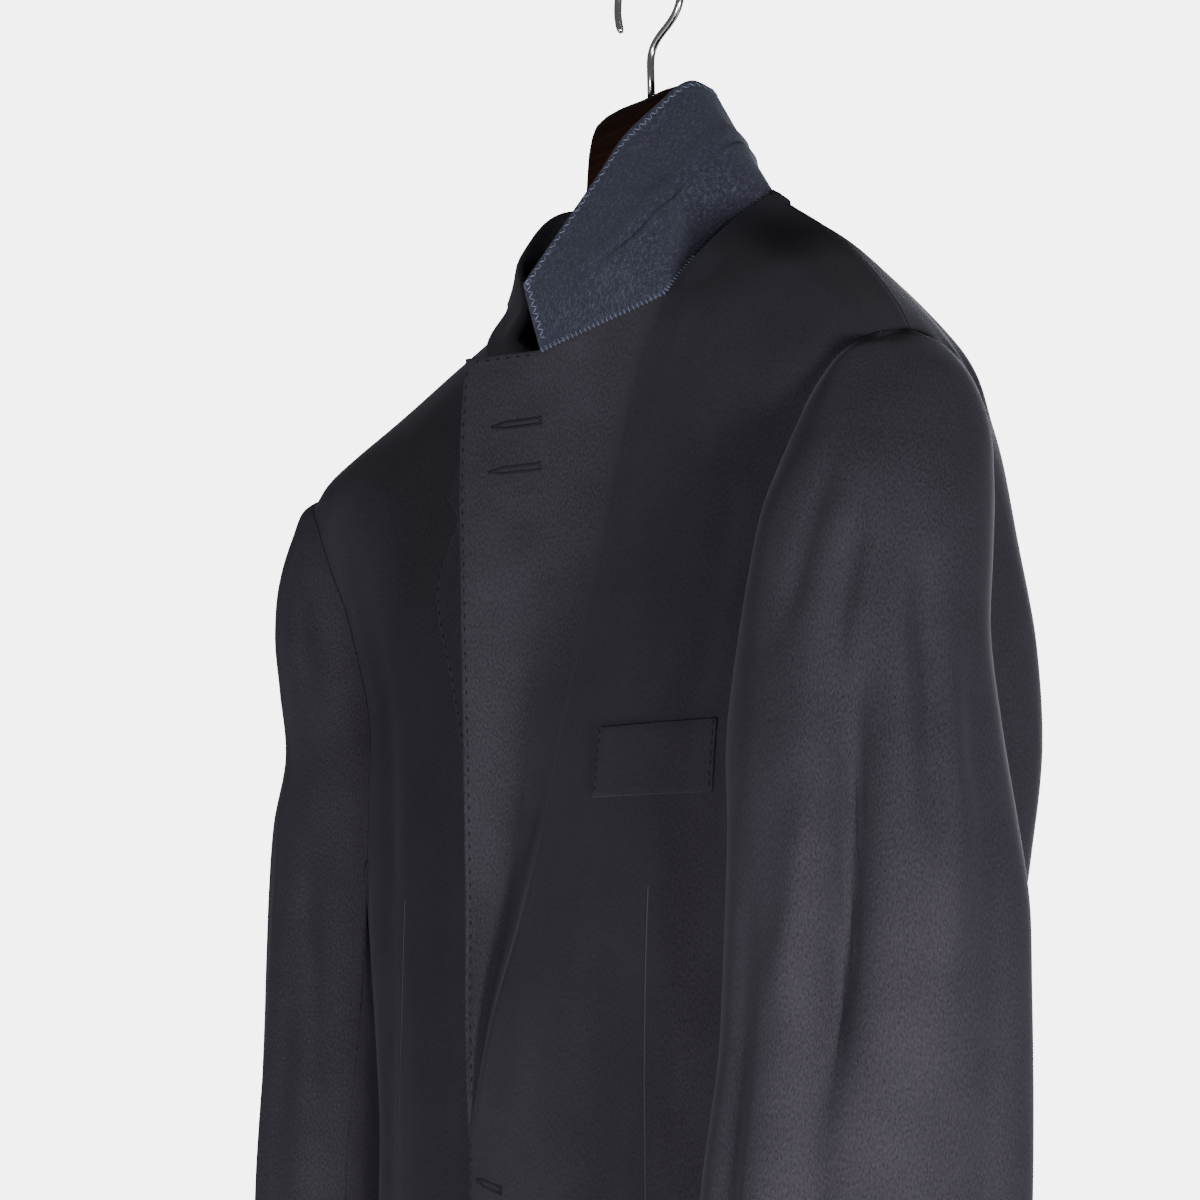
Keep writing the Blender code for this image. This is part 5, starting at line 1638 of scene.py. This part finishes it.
# The hanger's rings: points around, step, plain steps in the neck, the finer steps beside it and
# from the tips, and where the plain steps start again. Then where the arms lose their rounding and
# where the shoulders start, how far under the cloth the arms' top lies, and the arms' bevel: its
# start, its width at the top and its slopes left and right.
hangerLook = {
    "around": 28,
    "step": 0.004,
    "plainSteps": 8,
    "neckSteps": (0.030, 0.032, 0.034, 0.0355, 0.037, 0.0382, 0.0392, 0.0402, 0.0412, 0.0425,
                  0.044, 0.046),
    "tipSteps": (0.012, 0.009, 0.006, 0.003, 0.0012, 0.0),
    "armStart": 0.049,
    "rounds": (0.05, 0.09),
    "shoulder": 0.081,
    "under": 0.0006,
    "bevel": (0.075, 0.0012, 0.75, 0.50),
    "sharp": math.radians(40),
}


def ridge(x):
    # the cloth's inside over the arm's top, this far from the middle
    side = 1 if x >= 0 else -1
    low, high = shoulderEnd, bodyTable["height"][0]
    for _ in range(30):
        middle = (low + high) / 2
        if bodyRow("halfWidth", middle, side) > abs(x):
            low = middle
        else:
            high = middle
    lean = bodyNormal(side, math.pi / 2, low)[2]
    depth = (wall + hangerLook["under"]) / max(lean, 0.3)
    return body(side, math.pi / 2, low) - np.array((0.0, 0.0, depth))


def hangerSection(x):
    # middle, half thickness, top and bottom of the hanger at this distance
    shape = hangerTable
    away = abs(x)
    crown = ridge(max(away, hangerLook["shoulder"]) * (1 if x >= 0 else -1))
    out = ramp(away, *shape["thins"])
    thick = shape["neckThick"] + (shape["armThin"] - shape["neckThick"]) * out
    thick += (shape["armThick"] - shape["armThin"]) * ramp(away, *shape["thickens"])
    bottom = crown[2] - shape["armLow"] + shape["rise"] * ramp(away, *shape["rises"])
    reach = away * shape["leftNeck"] if x > 0 else away
    top = crown[2]
    if reach < neckLine[-1][0]:
        places, heights = zip(*neckLine)
        top = max(top, neckLevel + smooth(places, heights, reach))
    end = 1.0
    rounding = hangerLook["tipSteps"][0]
    if away > shape["tip"] - rounding:
        end = max(1 - ((away - shape["tip"] + rounding) / rounding) ** 2, 0.0) ** 0.5
    centre = (top + bottom) / 2
    half = (top - bottom) / 2 * max(end, shape["tipHalf"])
    return crown[1] * out, thick * max(end, shape["tipThick"]), centre + half, centre - half


def insideCloth(x, y, z):
    # y kept between the front's and the back's inside
    side = 1 if x >= 0 else -1
    height = z - neckLevel
    if height > bodyTable["height"][0] or abs(x) > bodyRow("halfWidth", height, side):
        return y
    angle = bodyAngle(side, height, x)
    front = body(side, angle, height)[1] + armClear
    back = body(side, math.pi - angle, height)[1] - armClear
    if front > back:
        return (front + back) / 2
    return min(max(y, front), back)


def hangerPiece(look):
    tip = hangerTable["tip"]
    stations = [k * look["step"] for k in range(look["plainSteps"])] + list(look["neckSteps"])
    stations += list(np.arange(look["armStart"], tip - look["tipSteps"][0], look["step"]))
    stations += [tip - step for step in look["tipSteps"]]
    start, edge, slopeLeft, slopeRight = look["bevel"]
    rings = []
    for x in sorted(set([-x for x in stations] + stations)):
        middle, thick, top, bottom = hangerSection(x)
        centre = (top + bottom) / 2
        half = (top - bottom) / 2
        power = 0.5 + 0.5 * ramp(abs(x), *look["rounds"])
        ring = []
        for angle in circleOf(look["around"]):
            y = middle + thick * signedPower(math.cos(angle), power)
            z = centre + half * signedPower(math.sin(angle), power)
            if abs(x) > start:
                room = edge + (slopeLeft if x > 0 else slopeRight) * (top - z)
                y = min(max(insideCloth(x, y, z), middle - room), middle + room)
            ring.append((x, y, z))
        rings.append(ring)
    mesh = ringMesh("hanger", rings, darkWood, 1, -1)
    mesh.set_sharp_from_angle(angle=look["sharp"])
    return linked("hanger", mesh)


pieces["hanger"] = hangerPiece(hangerLook)
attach(pieces["hanger"], "root")
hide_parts("hanger_body")

# The hook: degrees where the wire starts and how far it goes round, the height where it turns
# straight down, the pulls of the bend between, steps, points around, and its rounded tip.
hookLook = {
    "start": 205,
    "round": 225,
    "bendEnd": -0.058,
    "pulls": (0.014, 0.016),
    "steps": (72, 24),
    "around": 20,
    "tip": (0.62, 0.9),
}


def hookLine(look):
    reach = hookRadius + hookWire
    turns, bends = look["steps"]
    points = []
    for k in range(turns + 1):
        angle = math.radians(look["start"] - look["round"] * k / turns)
        points.append((reach * math.cos(angle), reach * math.sin(angle) - hookRadius))
    start = np.array(points[-1])
    end = np.array((0.0, look["bendEnd"]))
    way = math.radians(look["start"] - look["round"])
    out = np.array((math.sin(way), -math.cos(way))) * look["pulls"][0]
    back = end + np.array((0.0, look["pulls"][1]))
    for k in range(1, bends + 1):
        t = k / bends
        points.append(tuple(start * (1 - t) ** 3 + 3 * (start + out) * t * (1 - t) ** 2
                            + 3 * back * t * t * (1 - t) + end * t ** 3))
    points.append((0.0, neckLevel + hangerTable["neckTop"] + seamGap))
    return points


def hookPiece(look):
    points = np.array(hookLine(look))
    rings = []
    for i, (x, z) in enumerate(points):
        way = unit(points[min(i + 1, len(points) - 1)] - points[max(i - 1, 0)])
        thin = hookWire * (look["tip"][i] if i < len(look["tip"]) else 1.0)
        rings.append([(x + way[1] * math.cos(angle) * thin, math.sin(angle) * thin,
                       z - way[0] * math.cos(angle) * thin) for angle in circleOf(look["around"])])
    return linked("hook", ringMesh("hook", rings, brightWire, 1, -1))


pieces["hook"] = hookPiece(hookLook)
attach(pieces["hook"], "root")
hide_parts("hanger_hook")
print("hanger ready")


# Stitches.
def stitchTree():
    # a thread of the given length and radius at every point, along its own attributes
    tree = bpy.data.node_groups.new("thread stitches", "GeometryNodeTree")
    for name, kind in (("Geometry", "Geometry"), ("Stitch length", "Float"),
                       ("Thread radius", "Float"), ("Lean", "Float"), ("Material", "Material")):
        tree.interface.new_socket(name=name, in_out="INPUT", socket_type="NodeSocket" + kind)
    tree.interface.new_socket(name="Geometry", in_out="OUTPUT", socket_type="NodeSocketGeometry")
    start = addNode(tree, "NodeGroupInput")
    ball = addNode(tree, "GeometryNodeMeshUVSphere")
    setInputs(ball, {"Segments": 8, "Rings": 6, "Radius": 1.0})
    half = addNode(tree, "ShaderNodeMath", operation="MULTIPLY")
    half.inputs[1].default_value = 0.5
    size = addNode(tree, "ShaderNodeCombineXYZ")
    shape = addNode(tree, "GeometryNodeTransform")
    along, up = (addNode(tree, "GeometryNodeInputNamedAttribute", data_type="FLOAT_VECTOR")
                 for _ in range(2))
    setInputs(along, {"Name": "along"})
    setInputs(up, {"Name": "up"})
    axes = addNode(tree, "FunctionNodeAxesToRotation", primary_axis="Z", secondary_axis="X")
    angle = addNode(tree, "FunctionNodeAxisAngleToRotation")
    lean = addNode(tree, "FunctionNodeRotateRotation", rotation_space="LOCAL")
    place = addNode(tree, "GeometryNodeInstanceOnPoints")
    real = addNode(tree, "GeometryNodeRealizeInstances")
    smoothed = addNode(tree, "GeometryNodeSetShadeSmooth")
    paint = addNode(tree, "GeometryNodeSetMaterial")
    end = addNode(tree, "NodeGroupOutput")
    for one, output, two, entry in (
        (start, "Stitch length", half, 0),
        (half, 0, size, "X"),
        (start, "Thread radius", size, "Y"),
        (start, "Thread radius", size, "Z"),
        (ball, "Mesh", shape, "Geometry"),
        (size, "Vector", shape, "Scale"),
        (up, "Attribute", axes, "Primary Axis"),
        (along, "Attribute", axes, "Secondary Axis"),
        (start, "Lean", angle, "Angle"),
        (axes, "Rotation", lean, "Rotation"),
        (angle, "Rotation", lean, "Rotate By"),
        (start, "Geometry", place, "Points"),
        (shape, "Geometry", place, "Instance"),
        (lean, "Rotation", place, "Rotation"),
        (place, "Instances", real, "Geometry"),
        (real, "Geometry", smoothed, "Geometry"),
        (smoothed, "Geometry", paint, "Geometry"),
        (start, "Material", paint, "Material"),
        (paint, "Geometry", end, "Geometry"),
    ):
        tree.links.new(one.outputs[output], two.inputs[entry])
    return tree


threadTree = stitchTree()


def sew(name, stitches, length, radius, material, lean=0.0):
    # stitches: places with the thread's way and the cloth's outside
    places, along, up = (np.array([row[k] for row in stitches]) for k in range(3))
    mesh = bpy.data.meshes.new(name)
    mesh.from_pydata(places.tolist(), [], [])
    for word, values in (("along", along), ("up", up)):
        attribute = mesh.attributes.new(word, "FLOAT_VECTOR", "POINT")
        attribute.data.foreach_set("vector", values.astype(np.float32).ravel())
    piece = linked(name, mesh)
    modifier = piece.modifiers.new("stitches", "NODES")
    modifier.node_group = threadTree
    settings = {"Stitch length": length, "Thread radius": radius, "Lean": lean,
                "Material": material}
    for item in threadTree.interface.items_tree:
        if item.in_out == "INPUT" and item.name in settings:
            modifier[item.identifier] = settings[item.name]
    bpy.context.view_layer.update()
    graph = bpy.context.evaluated_depsgraph_get()
    plain = bpy.data.meshes.new_from_object(piece.evaluated_get(graph))
    piece.modifiers.clear()
    piece.data = plain
    plain.name = name
    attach(piece, "root")
    print(name, "stitches", len(stitches), "faces", len(plain.polygons))
    pieces[name] = piece


def alongLine(points, ups, pitch, start=0.5):
    # places at even steps on a line of points, with the line's way and the cloth's outside
    steps = np.linalg.norm(np.diff(points, axis=0), axis=1)
    total = np.concatenate(([0.0], np.cumsum(steps)))
    result = []
    far = pitch * start
    while far < total[-1]:
        k = min(int(np.searchsorted(total, far, side="right")) - 1, len(steps) - 1)
        size = max(steps[k], tiny)
        t = (far - total[k]) / size
        up = unit(ups[k] * (1 - t) + ups[k + 1] * t)
        spot = points[k] * (1 - t) + points[k + 1] * t
        result.append((spot, (points[k + 1] - points[k]) / size, up))
        far += pitch
    return result


def borderLine(grid, normals, inset, lift, start=0, stop=None, column=0, inner=2):
    # A line this far in from a border of a grid, just over the cloth, with the cloth's outside.
    # The inner column says which way in is.
    rows = slice(start, stop)
    edge, ups = grid[rows, column], normals[rows, column]
    way = grid[rows, inner] - edge
    way = way / np.maximum(np.linalg.norm(way, axis=1, keepdims=True), tiny)
    return edge + way * inset + ups * lift, ups


def turned(grid, normals):
    return grid.swapaxes(0, 1), normals.swapaxes(0, 1)


def fineRows(rows):
    # where the collar's coarse rows start and stop in its fine grid
    return rows[0] * collarDown, rows[1] * collarDown + 1


# Picks on the edges, then the felt's stitches: whips over the gorge, loops round the outer edge,
# and felling along the neck. Each has its pitch, length, radius and distance from the edge, and
# the felt's have the collar's rows that they run along.
threadLook = {
    "pick": {"pitch": 0.0057, "length": 0.0024, "radius": 0.00032, "inset": 0.0020,
             "start": 1.3, "topColumns": 11},
    "welt": {"pitch": 0.0040, "inset": 0.0014},
    "whip": {"pitch": 0.0022, "length": 0.0031, "radius": 0.00024, "inset": 0.0004,
             "lean": 0.22, "rows": (0, 3)},
    "zig": {"pitch": 0.0021, "length": 0.0031, "radius": 0.00026, "inset": 0.0030,
            "slant": 52, "rows": (0, 11)},
    "fell": {"pitch": 0.0026, "length": 0.0024, "radius": 0.00026, "inset": 0.0006,
             "along": 0.5, "across": 0.8, "rows": (3, 9)},
    "lift": 0.00006,
    "weltLift": 0.00004,
    "feltLift": 0.00002,
}
picks = []
look = threadLook["pick"]
lift = threadLook["lift"]
chest, lapel = grids["frontLeft"]
outerEdge = borderLine(*lapel, look["inset"], lift)
topEdge = borderLine(*turned(*lapel), look["inset"], lift, 0, look["topColumns"], inner=1)
for line, ups in (outerEdge, topEdge):
    picks += alongLine(line[:-1], ups[:-1], look["pitch"], look["start"])
low = (chest[0].shape[0] - 1) // (len(leftEdge) - 1) * lapelEnd
for fine in (chest, grids["frontRight"][0]):
    picks += alongLine(*borderLine(*fine, look["inset"], lift, low), look["pitch"])
facingLine = borderLine(facing, facingUps, look["inset"], wall + lift, column=-1, inner=-3)
picks += alongLine(*facingLine, look["pitch"])
weltLift = pocketLook["thick"] + threadLook["weltLift"]
for column, inner in ((0, 2), (-1, -3)):
    line = borderLine(*grids["breastWelt"][0], threadLook["welt"]["inset"], weltLift,
                      column=column, inner=inner)
    picks += alongLine(*line, threadLook["welt"]["pitch"])
sew("pickStitches", picks, look["length"], look["radius"], clothThread)

collar = (collarPoints, collarNormals)
feltFace = collarWall + seamGap / 2
feltTop = feltFace + threadLook["feltLift"]
look = threadLook["whip"]
whips = []
gorgeLine = borderLine(*collar, look["inset"], feltTop, *fineRows(look["rows"]))
for place, way, up in alongLine(*gorgeLine, look["pitch"]):
    whips.append((place, unit(np.cross(way, up)), up))
sew("gorgeStitches", whips, look["length"], look["radius"], blueThread, look["lean"])

look = threadLook["zig"]
zigs = []
rimLine = borderLine(*collar, look["inset"], feltTop, *fineRows(look["rows"]), column=-1,
                     inner=-3)
tipLine = borderLine(*turned(*collar), look["inset"], feltTop, start=2)
for line, ups in (rimLine, tipLine):
    for k, (place, way, up) in enumerate(alongLine(line, ups, look["pitch"])):
        across = np.cross(way, up)
        slant = math.radians(look["slant"] if k % 2 else -look["slant"])
        zigs.append((place, way * math.cos(slant) + across * math.sin(slant), up))
sew("edgeStitches", zigs, look["length"], look["radius"], blueThread, 0.0)

look = threadLook["fell"]
fells = []
neckEdge = borderLine(*collar, look["inset"], feltFace, *fineRows(look["rows"]))
for place, way, up in alongLine(*neckEdge, look["pitch"]):
    fells.append((place, way * look["along"] + np.cross(way, up) * look["across"], up))
sew("neckStitches", fells, look["length"], look["radius"], clothThread, 0.0)
print("stitches ready")


# Buttonholes: half width, the worked thread's pitch, length and radius, the share of the slit
# that is drawn to a point, and the end bar's step and half width. Then both ends of each hole.
holeLook = {
    "half": 0.0013,
    "pitch": 0.00058,
    "length": 0.0017,
    "radius": 0.00027,
    "pointed": 0.28,
    "lift": 0.00008,
    "barLift": 0.00014,
    "barStep": 0.0004,
    "barHalf": 0.0015,
}
lapelHoles = (((0.0132, -0.0860), (0.0368, -0.0860)), ((0.0112, -0.1060), (0.0353, -0.1060)))
frontHoles = (((-0.0050, -0.4150), (0.0190, -0.4180)), ((-0.0050, -0.5200), (0.0190, -0.5230)))


def buttonhole(one, upOne, two, upTwo, look):
    # worked thread on both sides of the slit, and a bar at its far end
    size = np.linalg.norm(two - one)
    way = (two - one) / size
    result = []
    steps = int(size / look["pitch"])
    for k in range(steps + 1):
        t = k / steps
        up = unit(upOne * (1 - t) + upTwo * t)
        across = np.cross(up, way)
        spread = look["half"] * min(t / look["pointed"], 1.0)
        for sign in (-1, 1):
            spot = one + (two - one) * t + across * sign * spread + up * look["lift"]
            result.append((spot, across, up))
    across = np.cross(upTwo, way)
    for k in range(3):
        for share in (-1.0, 0.0, 1.0):
            spot = (two + way * look["barStep"] * (k - 0.5) + across * (look["barHalf"] * share)
                    + upTwo * look["barLift"])
            result.append((spot, across, upTwo))
    return result


holes = []
for fine, rows in ((lapel, lapelHoles), (chest, frontHoles)):
    for one, two in rows:
        holes += buttonhole(*onSurface(fine, *one), *onSurface(fine, *two), holeLook)
sew("buttonholes", holes, holeLook["length"], holeLook["radius"], holeThread)
sewn = [((one + two) / 2, unit(two - one), up) for one, two, up in buttonThreads]
sew("buttonThread", sewn, buttonLook["threadLength"], buttonLook["threadRadius"], clothThread,
    0.0)
print("buttonholes ready")


sheetPiece(pieces["frontLeft"], grids["frontLeft"], ["front_left"])
sheetPiece(pieces["frontRight"], grids["frontRight"], ["front_right"])
sheetPiece(pieces["underCollar"], grids["underCollar"], ["under_collar"])

# what the finished size is
low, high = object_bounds()


# The floor fades out between two distances, and the sky is brighter to the eye than as a light.
stageLook = {
    "floor": -1.20,
    "radius": 3.0,
    "fade": (1.3, 2.9),
    "around": 96,
    "floorColour": (0.80, 0.80, 0.80),
    "sky": (1.0, 1.0, 1.0),
    "shownSky": 5.6,
    "skyLight": 0.14,
}
# Each lamp: watts, size, place, and the point that it faces.
lights = {
    "key": (36.0, 0.22, (1.36, -0.44, -0.84), (0.0, 0.0, -0.45)),
    "front": (16.5, 0.40, (0.60, -1.10, -0.82), (0.0, 0.0, -0.45)),
    "back": (90.0, 1.8, (-1.7, 1.9, 0.1), (0.0, 0.0, -0.45)),
}


def lightAt(name, energy, size, place, target):
    data = bpy.data.lights.new(name, "AREA")
    data.energy = energy
    data.shape = "DISK"
    data.size = size
    lamp = linked(name, data)
    lamp.location = place
    lamp.rotation_euler = (Vector(target) - Vector(place)).to_track_quat("-Z", "Y").to_euler()


def makeFloor(look):
    mesh = bpy.data.meshes.new("floor")
    ring = [(look["radius"] * math.cos(angle), look["radius"] * math.sin(angle), look["floor"])
            for angle in circleOf(look["around"])]
    mesh.from_pydata(ring, [], [tuple(range(look["around"]))])
    material, tree, shader, place = newMaterial("pale floor", look["floorColour"], 0.9)
    away = addNode(tree, "ShaderNodeVectorMath", operation="LENGTH")
    share = addNode(tree, "ShaderNodeMapRange", interpolation_type="SMOOTHSTEP")
    setInputs(share, {"From Min": look["fade"][0], "From Max": look["fade"][1]})
    clear = addNode(tree, "ShaderNodeBsdfTransparent")
    mix = addNode(tree, "ShaderNodeMixShader")
    tree.links.new(place, away.inputs[0])
    tree.links.new(away.outputs["Value"], share.inputs["Value"])
    tree.links.new(share.outputs["Result"], mix.inputs["Fac"])
    tree.links.new(shader.outputs["BSDF"], mix.inputs[1])
    tree.links.new(clear.outputs["BSDF"], mix.inputs[2])
    tree.links.new(mix.outputs["Shader"], tree.nodes["Material Output"].inputs["Surface"])
    mesh.materials.append(material)
    linked("floor", mesh)


def makeSky(look):
    world = bpy.data.worlds.new("pale sky")
    world.use_nodes = True
    tree = world.node_tree
    background = tree.nodes["Background"]
    background.inputs["Color"].default_value = (*look["sky"], 1.0)
    seen = addNode(tree, "ShaderNodeLightPath").outputs["Is Camera Ray"]
    strength = mathOf(tree, "MULTIPLY_ADD", seen, look["shownSky"] - look["skyLight"],
                      look["skyLight"])
    tree.links.new(strength, background.inputs["Strength"])
    bpy.context.scene.world = world


makeFloor(stageLook)
makeSky(stageLook)
for name, values in lights.items():
    lightAt(name, *values)
print("stage ready")
print("triangles", sum(len(polygon.vertices) - 2 for piece in pieces.values()
                       for polygon in piece.data.polygons))
